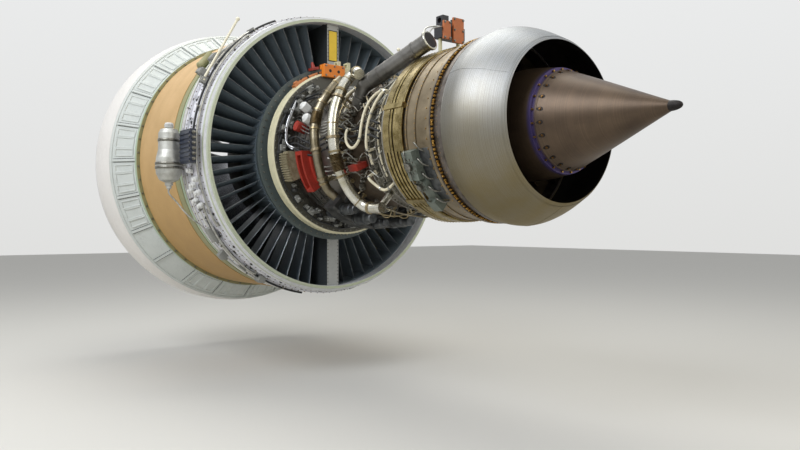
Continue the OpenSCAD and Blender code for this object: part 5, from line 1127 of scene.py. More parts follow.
piece("titanium_blades", copies(blade_grid(), spun(around(FAN_BLADES))), "blade_titanium", body="lp_rotor",
      stands_for=["fan_blades"], smooth_deg=60)
t = np.linspace(0, 1, 30)
spin_x = -2.150 + 0.430 * t
spin_r = HUB_FRONT_R * t ** 0.62
spinner = np.r_[np.c_[spin_x, np.maximum(spin_r, 0.0004)],
                np.c_[spin_x[::-1] + 0.002, np.maximum(spin_r[::-1] - 0.014, 0.0003)]]
piece("spinner_cone", lathe(spinner, 120), "spinner_paint", body="lp_rotor", stands_for=["spinner"],
      smooth_deg=60)
piece("spinner_bolts", standing(hex_bolt(0.018, 0.006), -1.735, around(24, 7.5), 0.4205), "fastener_dull",
      body="lp_rotor")
print("fan:", tally["titanium_blades"], "triangles")

# %% [markdown]
# The core's case steps in and out from the compressor to the turbine. Whatever sits on it needs
# that radius, so it is one table of stations and radii, read off the construction and joined by
# straight lines, as the case is built of straight cones.

# %% The core case's radius
CORE_STATIONS = [0.190, 0.204, 0.205, 0.330, 0.940, 0.941, 0.969, 0.970, 1.065, 1.466, 1.467, 1.494, 1.495,
                 1.560, 1.676, 1.677, 1.692, 1.693, 1.866, 1.867, 1.894, 1.895, 2.190, 2.200, 2.500, 2.501,
                 2.544, 2.545, 2.640]
CORE_RADII = [0.700, 0.700, 0.655, 0.655, 0.505, 0.559, 0.559, 0.513, 0.606, 0.606, 0.640, 0.640, 0.606,
              0.610, 0.636, 0.668, 0.668, 0.644, 0.672, 0.734, 0.734, 0.708, 0.722, 0.742, 0.742, 0.772,
              0.772, 0.742, 0.751]


def core_r(x):
    """Radius of the core case: straight lines between the stations above."""
    return np.interp(x, CORE_STATIONS, CORE_RADII)


def route(knots, steps=8):
    """A pipe's path: a Catmull-Rom curve in station, clock and radius, carried round the centreline."""
    path = smooth_path(knots, steps)
    return on_clock(path[:, 0] / 1000, path[:, 1], path[:, 2] / 1000)


def leg(x, clock, radius, top, sides=24):
    """A round post from a little above the case up to a radius."""
    foot = core_r(x) + 0.0006
    post = turned([[radius * 1.25, 0], [radius * 1.25, 0.012], [radius, 0.016], [radius, top - foot]], sides)
    return standing(post, x, clock, foot)


def fanned(base, count, step):
    """Runs side by side: one run's knots, and each next run turned on by step degrees of clock."""
    return [[[x, c + step * k, h] for x, c, h in base] for k in range(count)]


def at_height(h, *knots):
    """A run's knots at one height h from pairs of station and clock."""
    return [[x, c, h] for x, c in knots]


print("core radius at 1.2 m:", core_r(1.2))

# %% [markdown]
# The two large pipes cross the core from top to bottom: a bright titanium one behind and a
# bronze-grey one ahead. Each is a circle carried along a smooth curve. A bellows takes up heat
# growth in the bright pipe; its folds are the same circle with a radius that goes up and down.

# %% Cross pipe and lower pipe
CROSS_R, LOWER_R = 0.050, 0.044
CROSS_ORBIT, LOWER_ORBIT = 850, 800
cross_knots = [[1400, 48, 860], [1330, 45.5, 866], [1250, 45, 856]] + [[x, c, CROSS_ORBIT] for x, c in (
    (1225, 52), (1245, 62), (1265, 75), (1290, 88), (1310, 100), (1325, 112), (1345, 125), (1390, 134),
    (1480, 137.5))] + [[1640, 138.5, CROSS_ORBIT - 10]]
lower_knots = [[x, c, LOWER_ORBIT] for x, c in (
    (880, 38), (882, 46), (880, 56), (862, 66), (876, 78), (900, 90), (925, 101), (915, 113),
    (910, 123))] + [[950, 131, LOWER_ORBIT - 10]]
cross_path, lower_path = route(cross_knots), route(lower_knots)
piece("cross_pipe", [sweep(cross_path, CROSS_R, 32), leg(1.604, 138.5, 0.034, 0.82)], "pipe_silver",
      stands_for=["bleed_cross_pipe"], smooth_deg=60)
piece("lower_pipe", [sweep(lower_path, LOWER_R, 32), leg(0.896, 50, 0.026, 0.77),
                     leg(0.896, 118, 0.026, 0.77)], "pipe_bronze",
      stands_for=["bleed_lower_pipe"], smooth_deg=60)


def folds(path, radius, rise, pitch):
    """A bellows: radius plus a squared sine of the run along the path, one fold each pitch metres."""
    run = np.r_[[0], np.cumsum(np.linalg.norm(np.diff(path, axis=0), axis=1))]
    fine = np.arange(0, run[-1], pitch / 8)
    points = np.stack([np.interp(fine, run, column) for column in path.T], -1)
    return sweep(points, radius + rise * np.sin(np.pi * fine / pitch) ** 2, 28)


def collar(path, i, radius, width, height):
    """A band round a pipe at one point of its path."""
    tangent, side, _ = path_sides(path)
    place = frames(path[i], side[i], tangent[i])
    top = radius + height
    ring = turned([[radius, -width / 2], [top, -width * 0.4], [top, width * 0.4], [radius, width / 2]], 32)
    return copies(ring, place)


piece("pipe_bellows", [folds(cross_path[56:64], CROSS_R + 0.001, 0.011, 0.012),
                       folds(lower_path[26:33], LOWER_R + 0.001, 0.010, 0.011)],
      "clamp_bronze", smooth_deg=80)
bands = [collar(cross_path, i, CROSS_R, w, h) for i, w, h in (
    (8, 0.020, 0.006), (22, 0.012, 0.003), (30, 0.030, 0.008), (44, 0.012, 0.003), (55, 0.022, 0.008),
    (65, 0.022, 0.008), (78, 0.012, 0.003), (88, 0.026, 0.008))]
bands += [collar(lower_path, i, LOWER_R, w, h) for i, w, h in (
    (6, 0.016, 0.006), (14, 0.010, 0.003), (25, 0.020, 0.008), (34, 0.020, 0.008), (46, 0.010, 0.003),
    (60, 0.024, 0.008))]
piece("pipe_bands", bands, "manifold_steel", smooth_deg=50)
print("pipes:", len(cross_path), "and", len(lower_path), "points")

# %% [markdown]
# The bleed duct rises from the case and ends open below the rear mount. Its rim is rolled over a
# wire, weld beads circle it, and two thin sense tubes run from its end back to the mount.

# %% Bleed duct
duct_bend, duct_end = np.array([1.330, -0.520, 0.506]), np.array([2.050, -0.350, 0.798])
duct_way = (duct_end - duct_bend) / np.linalg.norm(duct_end - duct_bend)
duct_side = np.cross(duct_way, [0, 0, 1.0])
duct_side /= np.linalg.norm(duct_side)
DUCT_R = 0.075


def on_duct(along):
    """A frame on the duct's axis, its Z along the duct."""
    return frames(duct_bend + along * duct_way, duct_side, duct_way)


duct_length = float(np.linalg.norm(duct_end - duct_bend))
beads = [copies(turned([[DUCT_R, -0.003], [DUCT_R + 0.0022, 0], [DUCT_R, 0.003]], 48), on_duct(a))
         for a in (0.10, 0.30, 0.31, 0.52, duct_length - 0.06)]
strap = turned([[DUCT_R, -0.012], [DUCT_R + 0.004, -0.010], [DUCT_R + 0.004, 0.010], [DUCT_R, 0.012]], 48)
duct_straps = [copies(strap, on_duct(a)) for a in (0.2, 0.62)]
piece("duct_beads", beads + duct_straps, "duct_grey")
rolled = copies(turned([[0.0875, -0.012], [0.0905, -0.008], [0.0915, -0.004], [0.0905, 0.0], [0.0875, 0.002]],
                       64), on_duct(duct_length - 0.002))
# A dark disc across the duct's open end: painted shade for the inside of the duct
bore = copies(turned([[0.073, 0.0], [0.073, 0.0016]], 48), on_duct(duct_length))
piece("duct_rim", rolled, "pipe_silver", smooth_deg=70)
piece("duct_mouth_painted_shade", bore, "soot")
sense = []
for gap in (-0.03, 0.03):
    start = duct_end - 0.05 * duct_way + np.array([0, gap, 0.082])
    knots = [start, start + [-0.02, 0.06, 0.06], [1.98, -0.20 + gap / 2, 0.955],
             [1.962, -0.145 + gap / 3, 0.965]]
    sense.append(sweep(smooth_path(knots), 0.0065, 10))
piece("sense_tubes", sense, "tube_steel")
print("bleed duct:", round(duct_length, 3), "m long")

# %% [markdown]
# Small-bore tubes are what fills the space round a core. Those of the construction are swept anew
# with smooth bends; more are laid along the case in bundles. Each is a few knots in station,
# clock and radius, held by clamps that stand on the case.

# %% Core tubes
TUBE_R = 0.013
tube_knots = [
    [[1330, 84, 720], [1350, 92, 746], [1420, 97, 756], [1500, 97, 760], [1560, 92, 746],
     [1570, 82, 736], [1570, 72, 726], [1610, 63, 726], [1730, 58, 730]],
    [[1630, 100, 720], [1650, 88, 730], [1690, 76, 738], [1740, 66, 742], [1800, 60, 740]],
    [[1140, 99, 680], [1080, 90, 722], [1070, 80, 730], [1080, 70, 730], [1080, 58, 724], [1140, 45, 700]],
    [[730, 84, 640], [720, 76, 680], [700, 66, 700], [710, 54, 690], [740, 44, 660]],
    [[1530, 120, 720], [1590, 126, 730], [1680, 130, 740], [1790, 128, 740]],
    [[1140, 210, 680], [1200, 220, 730], [1420, 236, 740], [1640, 248, 744], [1790, 256, 740]],
    [[700, 250, 660], [800, 264, 700], [1000, 284, 726], [1240, 297, 730], [1420, 310, 700]]]
tubes, unions = [], []
for knots in tube_knots:
    feet = [[x, c, (core_r(x / 1000) + 0.0085) * 1000] for x, c, _ in (knots[0], knots[-1])]
    path = route([feet[0], *knots, feet[1]], 7)
    tubes.append(sweep(path, TUBE_R, 16))
    unions += [leg(f[0] / 1000, f[1], 0.017, core_r(f[0] / 1000) + 0.03, 6) for f in feet]
    unions += [collar(path, i, TUBE_R, 0.016, 0.005) for i in (7, len(path) // 2, len(path) - 9)]
piece("core_tubes_swept", tubes, "cream_tube", stands_for=["core_tubes"], smooth_deg=60)
piece("tube_unions", unions, "tube_steel")
print("core tubes:", len(tubes))


# %% Bundles along the case
def clamp_block(x, clock, r, width):
    """A P-clamp: a thin standoff from the case and a saddle over the tube at radius r."""
    foot = core_r(x) + 0.0005
    stand = block((-0.006, -0.004, foot - r), (0.006, 0.004, -width * 0.5))
    saddle = turned([[width, -0.007], [width + 0.002, 0], [width, 0.007]], 12)
    return merge(standing(stand, x, clock, r), rearward(saddle, x, clock, r))


def bundle(name, runs, radius, finish, every=16, sides=10):
    """Tubes or harnesses along routes of (station, clock, height over the case), clamped to it."""
    swept, clamps = [], []
    for run in runs:
        flat = smooth_path(run, 10)
        # A running mean rounds the steps that the case makes at its flanges
        level = core_r(flat[:, 0] / 1000) + flat[:, 2] / 1000
        level = np.max([level] + [np.roll(level, k) for k in range(-5, 6)], axis=0)
        level = np.convolve(np.pad(level, 4, "edge"), np.ones(9) / 9, "valid")
        swept.append(sweep(on_clock(flat[:, 0] / 1000, flat[:, 1], level), radius, sides))
        for i in range(every // 2, len(flat) - 3, every):
            clamps.append(clamp_block(flat[i, 0] / 1000, flat[i, 1], level[i], radius * 1.25))
    piece(name, swept, finish, smooth_deg=60)
    piece(name + "_clamps", clamps, "fastener_dull")


steel_runs = (
    fanned([[230, 62, 60], [340, 60, 60], [520, 66, 70], [700, 70, 60], [860, 66, 50], [1080, 64, 36],
            [1300, 70, 40]], 5, 3)
    + fanned([[420, 100, 55], [600, 106, 70], [800, 110, 60], [1000, 108, 60], [1150, 104, 40],
              [1400, 106, 36]], 4, 4)
    + fanned([[230, 28, 60], [500, 24, 70], [760, 30, 70], [1050, 26, 46], [1400, 30, 40],
              [1820, 24, 40]], 3, 3)
    + fanned([[240, 232, 60], [520, 236, 70], [820, 230, 70], [1100, 238, 40], [1440, 232, 40],
              [1830, 240, 40]], 4, 5))
bundle("steel_lines", steel_runs, 0.0065, "tube_steel")
harness_runs = (
    fanned([[220, 84, 80], [420, 82, 84], [640, 88, 90], [860, 84, 90], [1060, 78, 64], [1240, 82, 60],
            [1440, 84, 70], [1640, 80, 60], [1830, 84, 50]], 3, 5)
    + fanned([[230, 44, 80], [460, 40, 84], [700, 46, 80], [1000, 40, 70], [1180, 34, 56]], 2, 5)
    + fanned([[220, 262, 80], [520, 268, 84], [820, 260, 80], [1100, 270, 50], [1440, 262, 50],
              [1830, 270, 40]], 3, 6))
bundle("black_harness", harness_runs, 0.010, "harness_black", 20)
bronze_runs = [[[540, 128, 60], [700, 120, 70], [900, 124, 70], [1040, 120, 60], [1120, 110, 50]],
               [[1500, 60, 34], [1560, 70, 46], [1640, 74, 44], [1760, 70, 40], [1850, 76, 50]],
               [[1500, 66, 34], [1580, 80, 50], [1660, 86, 46], [1780, 80, 44], [1850, 90, 50]],
               [[1130, 150, 46], [1240, 160, 56], [1400, 166, 60], [1640, 172, 50], [1840, 168, 40]],
               [[1130, 190, 46], [1240, 200, 56], [1400, 206, 60], [1640, 196, 50], [1840, 198, 40]],
               [[1120, 320, 46], [1300, 330, 56], [1500, 326, 60], [1840, 332, 40]]]
bundle("bronze_lines", bronze_runs, 0.009, "pipe_bronze", 12)
print("bundles:", len(steel_runs) + len(harness_runs) + len(bronze_runs), "lines")

# %% [markdown]
# Flanges are where the case is bolted together. Each has its bolts evenly round it: small and
# close on the compressor, gold and dark by turns at the turbine. The manifold's nozzles stand
# between them, each with a short bent pigtail.

# %% Flange bolts
# Turns a frame's local Z from the tail to the nose
TO_FRONT = np.diag([1.0, -1.0, -1.0, 1.0])


def bolt_ring(x, r, count, across, height, start=0.0, forward=False):
    """A ring of bolts on a flange's aft face, or on its forward face with their heads turned round."""
    places = aftwards(x, around(count, start), r)
    return copies(hex_bolt(across, height), places @ TO_FRONT if forward else places)


steel_rings = [bolt_ring(*row) for row in (
    (0.970, 0.548, 80, 0.015, 0.012), (0.939, 0.548, 80, 0.015, 0.012, 0, True),
    (1.495, 0.628, 100, 0.014, 0.011), (1.465, 0.628, 100, 0.014, 0.011, 0, True),
    (1.693, 0.658, 110, 0.012, 0.010), (1.675, 0.655, 110, 0.012, 0.010, 0, True),
    (0.205, 0.690, 72, 0.014, 0.011))]
piece("core_flange_bolts", steel_rings, "fastener_dull")
gold_rings = [bolt_ring(*row) for row in (
    (1.895, 0.723, 90, 0.016, 0.012), (1.865, 0.712, 90, 0.016, 0.014, 0, True),
    (2.545, 0.760, 90, 0.016, 0.012, 2.0), (2.625, 0.764, 120, 0.013, 0.010, 0, True))]
piece("turbine_flange_nuts", gold_rings, "nut_gold")
dark_ring = copies(stud_nut(0.019, 0.016, 0.010), aftwards(2.4995, around(60, 3), 0.7585) @ TO_FRONT)
piece("turbine_dark_nuts", dark_ring, "nut_dark")
ring_heads = [bolt_ring(0.2045, 0.842, 72, 0.016, 0.010), bolt_ring(0.2045, 0.716, 60, 0.014, 0.010, 3)]
piece("ring_web_bolts", ring_heads, "fastener_dull")
edge_rivets = [standing(dome(0.007, 0.004), x, around(120), 0.8771) for x in (0.108, 0.180)]
piece("ring_edge_rivets", edge_rivets, "ring_cream")
hub_rivets = [bolt_ring(0.0065, 0.90, 72, 0.016, 0.010), bolt_ring(0.0065, 0.80, 60, 0.014, 0.008, 3)]
piece("hub_plate_bolts", hub_rivets, "fastener_dull")
print("flange bolts:", sum(tally[n] for n in ("core_flange_bolts", "turbine_flange_nuts")), "triangles")

# %% Fuel nozzles and the actuation ring's levers
nozzle_head = turned([[0.024, 0], [0.024, 0.012], [0.014, 0.014], [0.014, 0.04], [0.009, 0.046]], 12)
pigtails, heads = [], []
for c in around(20, 9):
    start = [1085, c - 4, 694]
    bends = [[1110, c - 2, 716], [1150, c, 712], [1172, c, 668], [1172, c, 640]]
    pigtails.append(sweep(route([start, *bends], 5), 0.006, 8))
    heads.append(standing(nozzle_head, 1.172, c, 0.6065))
piece("fuel_pigtails", pigtails, "manifold_steel", smooth_deg=60)
piece("fuel_nozzle_heads", heads, "fastener_dull")
stage_rings, levers = [], []
for x, count in ((0.40, 40), (0.48, 40), (0.56, 44)):
    r = core_r(x) + 0.045
    stage_rings.append(hoop(x - 0.010, x + 0.010, r, r + 0.008, 144))
    spindle = turned([[0.007, 0], [0.007, 0.040], [0.010, 0.042], [0.010, 0.050]], 8)
    levers.append(standing(spindle, x + 0.034, around(count, 4), core_r(x + 0.034) + 0.0004))
    arm = block((-0.036, -0.004, 0.038), (0.004, 0.004, 0.042))
    levers.append(standing(arm, x + 0.034, around(count, 4), core_r(x + 0.034)))
piece("stage_levers", levers, "ring_steel")
piece("stage_rings", stage_rings, "ring_steel")
print("nozzles:", len(heads), "and levers:", len(levers))

# %% [markdown]
# The exit case behind the wrap is the busiest skin of the engine: ribs, rows of dark bolts, blankets
# of crinkled foil between the inspection holes, and a smooth pale rim that carries the reverser.
# The foil's creases are real geometry: a thin sheet whose radius is pushed in and out by a few sine
# waves of different lengths and by seeded noise.

# %% Foil blankets on the exit case
rng = np.random.default_rng(7)
EXIT_SKIN_R = 1.518


def foil(x0, x1, clock0, clock1, r, rise):
    """A crinkled patch: radius = r + rise * pillow * (0.6 + waves + noise), closed by its back face."""
    u, v = np.meshgrid(np.linspace(0, 1, 13), np.linspace(0, 1, 17), indexing="ij")
    pillow = np.sqrt(np.clip(np.sin(np.pi * u) * np.sin(np.pi * v), 0, 1))
    waves = 0.2 * np.sin(9 * u + 5 * v + rng.uniform(0, 6)) + 0.2 * np.sin(14 * v - 4 * u + rng.uniform(0, 6))
    height = rise * pillow * (0.6 + waves + rng.uniform(-0.35, 0.35, u.shape))
    x, clock = x0 + (x1 - x0) * u, clock0 + (clock1 - clock0) * v
    front = on_clock(x, clock, r + 0.0012 + np.maximum(height, 0)).reshape(-1, 3)
    back = on_clock(x, clock, r + 0.0004).reshape(-1, 3)
    faces = grid_faces(13, 17)
    n = len(front)
    rows, cols = np.arange(13) * 17, np.arange(17)
    loop = np.r_[cols, rows[1:] + 16, 12 * 17 + cols[-2::-1], rows[-2:0:-1]]
    edge = np.stack([loop, np.roll(loop, -1), np.roll(loop, -1) + n, loop + n], -1)
    return outward((np.r_[front, back], np.r_[faces, faces[:, ::-1] + n, edge[:, ::-1]]))


blankets = [foil(x0, x1, c + 5 - half, c + 5 + half, EXIT_SKIN_R, 0.012)
            for x0, x1, half, c in [(-0.290, -0.160, 3.7, c) for c in around(36, 5)]]
blankets += [foil(-0.420, -0.310, c + 1.2, c + 8.8, EXIT_SKIN_R, 0.008) for c in around(36, 0)]
blankets += [foil(-0.535, -0.440, c + 0.4, c + 9.6, EXIT_SKIN_R, 0.010) for c in around(36, 0)]
piece("foil_blankets", blankets, "foil_blanket", smooth_deg=25)
print("blankets:", len(blankets), "patches,", tally["foil_blankets"], "triangles")

# %% Bolt rows of the exit case
rows = [standing(hex_bolt(size, size * 0.6), x, around(count, 1.0), r) for x, r, count, size in (
    (-0.430, 1.536, 120, 0.011), (-0.300, 1.536, 120, 0.011), (-0.150, 1.536, 120, 0.011),
    (-0.115, 1.518, 144, 0.009), (-0.100, 1.518, 144, 0.006))]
rows += [bolt_ring(-0.543, 1.5305, 120, 0.014, 0.010, 1.5), bolt_ring(-0.8295, 1.5155, 90, 0.012, 0.008, 1.5)]
piece("exit_case_bolts", rows, "nut_dark")
hole_rings = []
for x, radius, start in ((-0.225, 0.020, 5), (-0.360, 0.012, 0)):
    inner, outer = radius + 0.001, radius + 0.009
    points, _ = turned([[inner, 0], [outer, 0], [outer, 0.003], [inner, 0.003]], 20)
    # Only the four turned rows are kept, looped back on themselves, so the middle stays open
    keep = grid_faces(4, 20, loop_rows=True, loop_cols=True)
    hole_rings.append(standing(outward((points[:80], keep)), x, around(36, start), EXIT_SKIN_R))
piece("hole_collars", hole_rings, "fastener_dull")
small = rng.uniform(0, 1, (260, 3))
stud = merge(block((-0.009, -0.014, 0), (0.009, 0.014, 0.006)), turned([[0.005, 0.006], [0.005, 0.014]], 6))
studs = standing(stud, -0.535 + 0.44 * small[:, 0], 360 * small[:, 1], EXIT_SKIN_R + 0.0002)
piece("case_studs", studs, "harness_black")
rim_sheets = [hoop(*row, 288) for row in (
    (-0.0695, -0.0345, 1.5085, 1.5096), (-0.0255, 0.0055, 1.4805, 1.4816), (0.0061, 0.0075, 1.4515, 1.4795))]
piece("rim_bands", rim_sheets, "rim_green")
piece("green_strip", hoop(-0.698, -0.580, 1.5155, 1.5168, 288), "primer_green")
print("rows:", tally["exit_case_bolts"], "triangles")

# %% [markdown]
# Small parts ride on that skin: wire harnesses in P-clamps, junction boxes, and lines along the rib
# tops. The same sweep as on the core makes them, only at a constant height over the ribs.

# %% Lines on the fan case
RIB_R = 1.536


def case_lines(name, runs, radius, finish):
    """Lines on the fan case along (station, clock, height over the ribs), with clamps on the skin."""
    swept, clamps = [], []
    for run in runs:
        flat = smooth_path(run, 9)
        swept.append(sweep(on_clock(flat[:, 0] / 1000, flat[:, 1], RIB_R + flat[:, 2] / 1000), radius, 10))
        for i in range(6, len(flat) - 3, 12):
            x, clock, r = flat[i, 0] / 1000, flat[i, 1], RIB_R + flat[i, 2] / 1000
            stand = block((-0.008, -0.005, EXIT_SKIN_R + 0.0005 - r), (0.008, 0.005, -radius * 0.5))
            saddle = turned([[radius * 1.2, -0.008], [radius * 1.35, 0], [radius * 1.2, 0.008]], 12)
            clamps += [standing(stand, x, clock, r),
                       copies(saddle, outwards(x, clock, r) @ np.array(
                           [[1, 0, 0, 0], [0, 0, -1, 0], [0, 1, 0, 0], [0, 0, 0, 1.0]]))]
    piece(name, swept, finish, smooth_deg=60)
    piece(name + "_clamps", clamps, "fastener_dull")


white_runs = [at_height(16, (-480, 30), (-470, 44), (-478, 58), (-468, 70), (-476, 82)),
              at_height(16, (-330, 106), (-338, 118), (-326, 130), (-336, 144), (-330, 160)),
              at_height(14, (-480, 100), (-460, 114), (-474, 128), (-462, 142), (-470, 158)),
              at_height(16, (-180, 200), (-190, 216), (-176, 232), (-186, 250), (-180, 268)),
              at_height(16, (-190, 282), (-176, 296), (-190, 310), (-180, 326), (-190, 340))]
black_runs = [at_height(18, (-200, 24), (-188, 40), (-198, 56), (-186, 70), (-196, 84), (-206, 96)),
              at_height(18, (-260, 118), (-244, 130), (-256, 142), (-246, 156), (-258, 170)),
              at_height(18, (-400, 190), (-386, 206), (-398, 224), (-384, 240), (-396, 262))]
case_lines("case_white_lines", white_runs, 0.009, "harness_white")
case_lines("case_black_lines", black_runs, 0.011, "harness_black")
plug_stub = turned([[0.013, 0], [0.013, 0.03], [0.010, 0.034]], 12)
boxes = []
for x, clock, w, d, h in (
        (-0.40, 52, 0.11, 0.09, 0.07), (-0.36, 60, 0.07, 0.07, 0.09), (-0.30, 124, 0.10, 0.16, 0.06),
        (-0.42, 134, 0.08, 0.08, 0.08), (-0.25, 150, 0.12, 0.07, 0.06), (-0.38, 300, 0.12, 0.14, 0.08),
        (-0.30, 322, 0.08, 0.08, 0.06), (-0.36, 210, 0.12, 0.12, 0.07)):
    box = merge(block((-w / 2, -d / 2, 0), (w / 2, d / 2, h)),
                block((-w / 2 + 0.01, -d / 2 + 0.01, h), (w / 2 - 0.01, d / 2 - 0.01, h + 0.006)),
                copies(plug_stub, frames([[0, -d / 2, h * 0.5]], [1.0, 0, 0], [0, -1.0, 0])))
    boxes.append(standing(box, x, clock, RIB_R + 0.0003))
piece("case_boxes", boxes, "bracket_grey", bevel_mm=2.0)
print("case fittings:", len(boxes), "boxes")

# %% [markdown]
# The oil tank is a stainless teardrop held by two straps, with a ribbed filler cap. Beside it stands
# the engine's electronic control, a navy casting with cooling ribs and a row of round connectors.

# %% Tank and control unit
TANK_AT = (-0.470, -1.692, -0.350)
tank_place = frames(np.array(TANK_AT), [1.0, 0, 0], [0, 0, 1.0])
tank_straps = merge(
    *[turned([[0.1335, z - 0.014], [0.1365, z - 0.011], [0.1365, z + 0.011], [0.1335, z + 0.014]], 48)
      for z in (0.150, 0.190)],
    turned([[0.1075, 0.414], [0.1105, 0.418], [0.1105, 0.440], [0.1065, 0.444]], 48))
piece("tank_straps", copies(tank_straps, tank_place), "fastener_dull", smooth_deg=50)
ribs = [turned([[0.040, 0.560 + k * 0.009], [0.046, 0.562 + k * 0.009], [0.046, 0.566 + k * 0.009],
                [0.040, 0.568 + k * 0.009]], 32) for k in range(4)]
filler = merge(*ribs, turned([[0.035, 0.590], [0.040, 0.596], [0.038, 0.606], [0.020, 0.610]], 32))
piece("tank_filler", copies(filler, tank_place), "valve_white", smooth_deg=50)
CONTROL_TOP = 1.632
plugs = facing_aft([[-0.0595, -1.600, z] for z in np.linspace(-0.13, 0.13, 6)])
plug_shape = turned([[0.017, 0], [0.017, 0.012], [0.014, 0.014], [0.014, 0.030], [0.009, 0.038]], 14)
piece("control_plugs", copies(plug_shape, plugs), "fastener_dull")
corner_bolts = [[x, -CONTROL_TOP - 0.0003, z] for x in (-0.318, -0.072)
                for z in np.linspace(-0.155, 0.155, 6)]
piece("control_bolts", copies(hex_bolt(0.013, 0.007), frames(corner_bolts, [1.0, 0, 0], [0, -1.0, 0])),
      "fastener_dull")
drain = smooth_path([[-0.470, -1.692, -0.408], [-0.470, -1.690, -0.46], [-0.440, -1.62, -0.55],
                     [-0.400, -1.52, -0.68], [-0.360, -1.35, -0.822]], 8)
piece("tank_drain", [sweep(drain, 0.008, 10), sweep(drain[:4], 0.014, 6)], "tube_steel", smooth_deg=60)
can_place = frames(on_clock(-0.66, 51.0, 1.575), [1.0, 0, 0], on_clock(0.0, 141.0, 1.0))
can = turned([[0.030, -0.11], [0.046, -0.10], [0.046, 0.07], [0.050, 0.075], [0.050, 0.095],
              [0.034, 0.11]], 32)
can_feet = [standing(block((-0.012, -0.03, -0.058), (0.012, 0.03, -0.03)), -0.66, c, 1.575) for c in (49, 53)]
piece("case_can", [copies(can, can_place), *can_feet], "case_olive", smooth_deg=50)
stub = turned([[0.030, 0], [0.030, 0.03], [0.022, 0.034], [0.022, 0.055], [0.012, 0.058]], 20)
under = [standing(stub, x, c, RIB_R + 0.0003) for x, c in (
    (-0.30, 104), (-0.22, 107), (-0.34, 110), (-0.26, 112), (-0.38, 106), (-0.20, 102), (-0.30, 98.5))]
piece("case_fittings", under, "valve_white", smooth_deg=50)
print("control unit:", len(plugs), "connectors")

# %% [markdown]
# On the top strut's rear face the photograph shows a yellow placard, here left bare, in a thin dark
# frame. Below it an orange-brown handling band ends in a bright orange grip with two dark holes.

# %% Strut placard and handling band
STRUT_REAR_X = -0.040
placard = block((STRUT_REAR_X + 0.0004, -0.050, 1.050), (STRUT_REAR_X + 0.0030, 0.050, 1.375))
backing = [block((STRUT_REAR_X + 0.0002, y0, z0), (STRUT_REAR_X + 0.0016, y1, z1)) for y0, y1, z0, z1 in (
    (-0.058, 0.058, 1.040, 1.049), (-0.058, 0.058, 1.376, 1.385), (-0.058, -0.051, 1.040, 1.385),
    (0.051, 0.058, 1.040, 1.385))]
piece("placard", placard, "placard_yellow", bevel_mm=1.0)
piece("placard_frame", backing, "hole_dark")
strut_bolts = [[STRUT_REAR_X + 0.0002, y, s * z] for s in (1, -1) for y in (-0.064, 0.064)
               for z in np.linspace(0.97, 1.41, 12)]
piece("strut_bolts", copies(hex_bolt(0.011, 0.006), facing_aft(strut_bolts)),
      "fastener_dull")
band_arc = lathe([[0.106, 0.8775], [0.168, 0.8775], [0.168, 0.900], [0.165, 0.903], [0.109, 0.903],
                  [0.106, 0.900]], 60, (13, 42))
boss = standing(turned([[0.028, 0], [0.028, 0.014], [0.024, 0.018]], 24), 0.137, 39, 0.903)
band_straps = [hoop(0.103, 0.171, 0.8773, 0.9055, 4, (c, c + 1.2)) for c in (20, 29)]
piece("handling_band_shell", [band_arc, boss], "band_brown", stands_for=["handling_band"], smooth_deg=50)
piece("band_clips", [*band_straps, standing(hex_bolt(0.020, 0.012), 0.137, [15.5, 25, 34], 0.903)],
      "hole_dark")
grip = [block((0.204, -0.298, 0.792), (0.256, -0.033, 0.927)),
        block((0.168, -0.298, 0.877), (0.2038, -0.180, 0.927))]
piece("grip_block", grip, "grip_orange", bevel_mm=5.0)
# Dark discs on the grip's face: painted shade for the inside of its two holes
pads = [[0.2563, y, z] for y, z in ((-0.2185, 0.8595), (-0.115, 0.8595))]
piece("grip_holes", copies(turned([[0.017, 0], [0.017, 0.0006]], 24), facing_aft(pads)),
      "hole_dark")
grip_bolts = [[0.2563, y, z] for y in (-0.27, -0.165, -0.06) for z in (0.81, 0.91)]
piece("grip_bolts", copies(hex_bolt(0.018, 0.010), facing_aft(grip_bolts)),
      "fastener_dull")
print("band and grip:", tally["handling_band_shell"], "triangles")

# %% [markdown]
# Between the cream ring and the compressor lie brackets, boxes, loops of wire and short tubes,
# standing off the ring's web. They are small shapes placed by clock angle and radius, so none
# floats: each has its foot on the web. No sensor stands within six degrees of the actuator's lug.

# %% Fittings on the ring's web
WEB_X = 0.2045
ACTUATOR_CLOCK = 300
sensor = turned([[0.022, 0], [0.022, 0.05], [0.016, 0.06], [0.016, 0.09]], 14)
fitting = turned([[0.012, 0], [0.012, 0.04], [0.018, 0.042], [0.018, 0.056]], 12)
web_parts, web_dark, web_light = [], [], []
for k, clock in enumerate(np.arange(30, 344, 5.0)):
    if 88 < clock < 136 and k % 2:
        continue
    r = 0.76 + 0.035 * math.sin(k * 2.3)
    size = 0.020 + 0.008 * math.sin(k * 1.7)
    spot = aftwards(WEB_X, clock, r)
    web_parts.append(copies(merge(
        block((-size, -size * 1.3, 0), (size, size * 1.3, 0.030 + size)),
        turned([[0.009, 0.030 + size], [0.009, 0.060 + size], [0.006, 0.066 + size]], 10)), spot))
    if k % 3 == 0 and abs(clock - ACTUATOR_CLOCK) > 6:
        web_dark.append(rearward(sensor, WEB_X, clock + 3.2, r + 0.03))
    else:
        web_light.append(rearward(fitting, WEB_X, clock + 3.2, r - 0.02))
loops = []
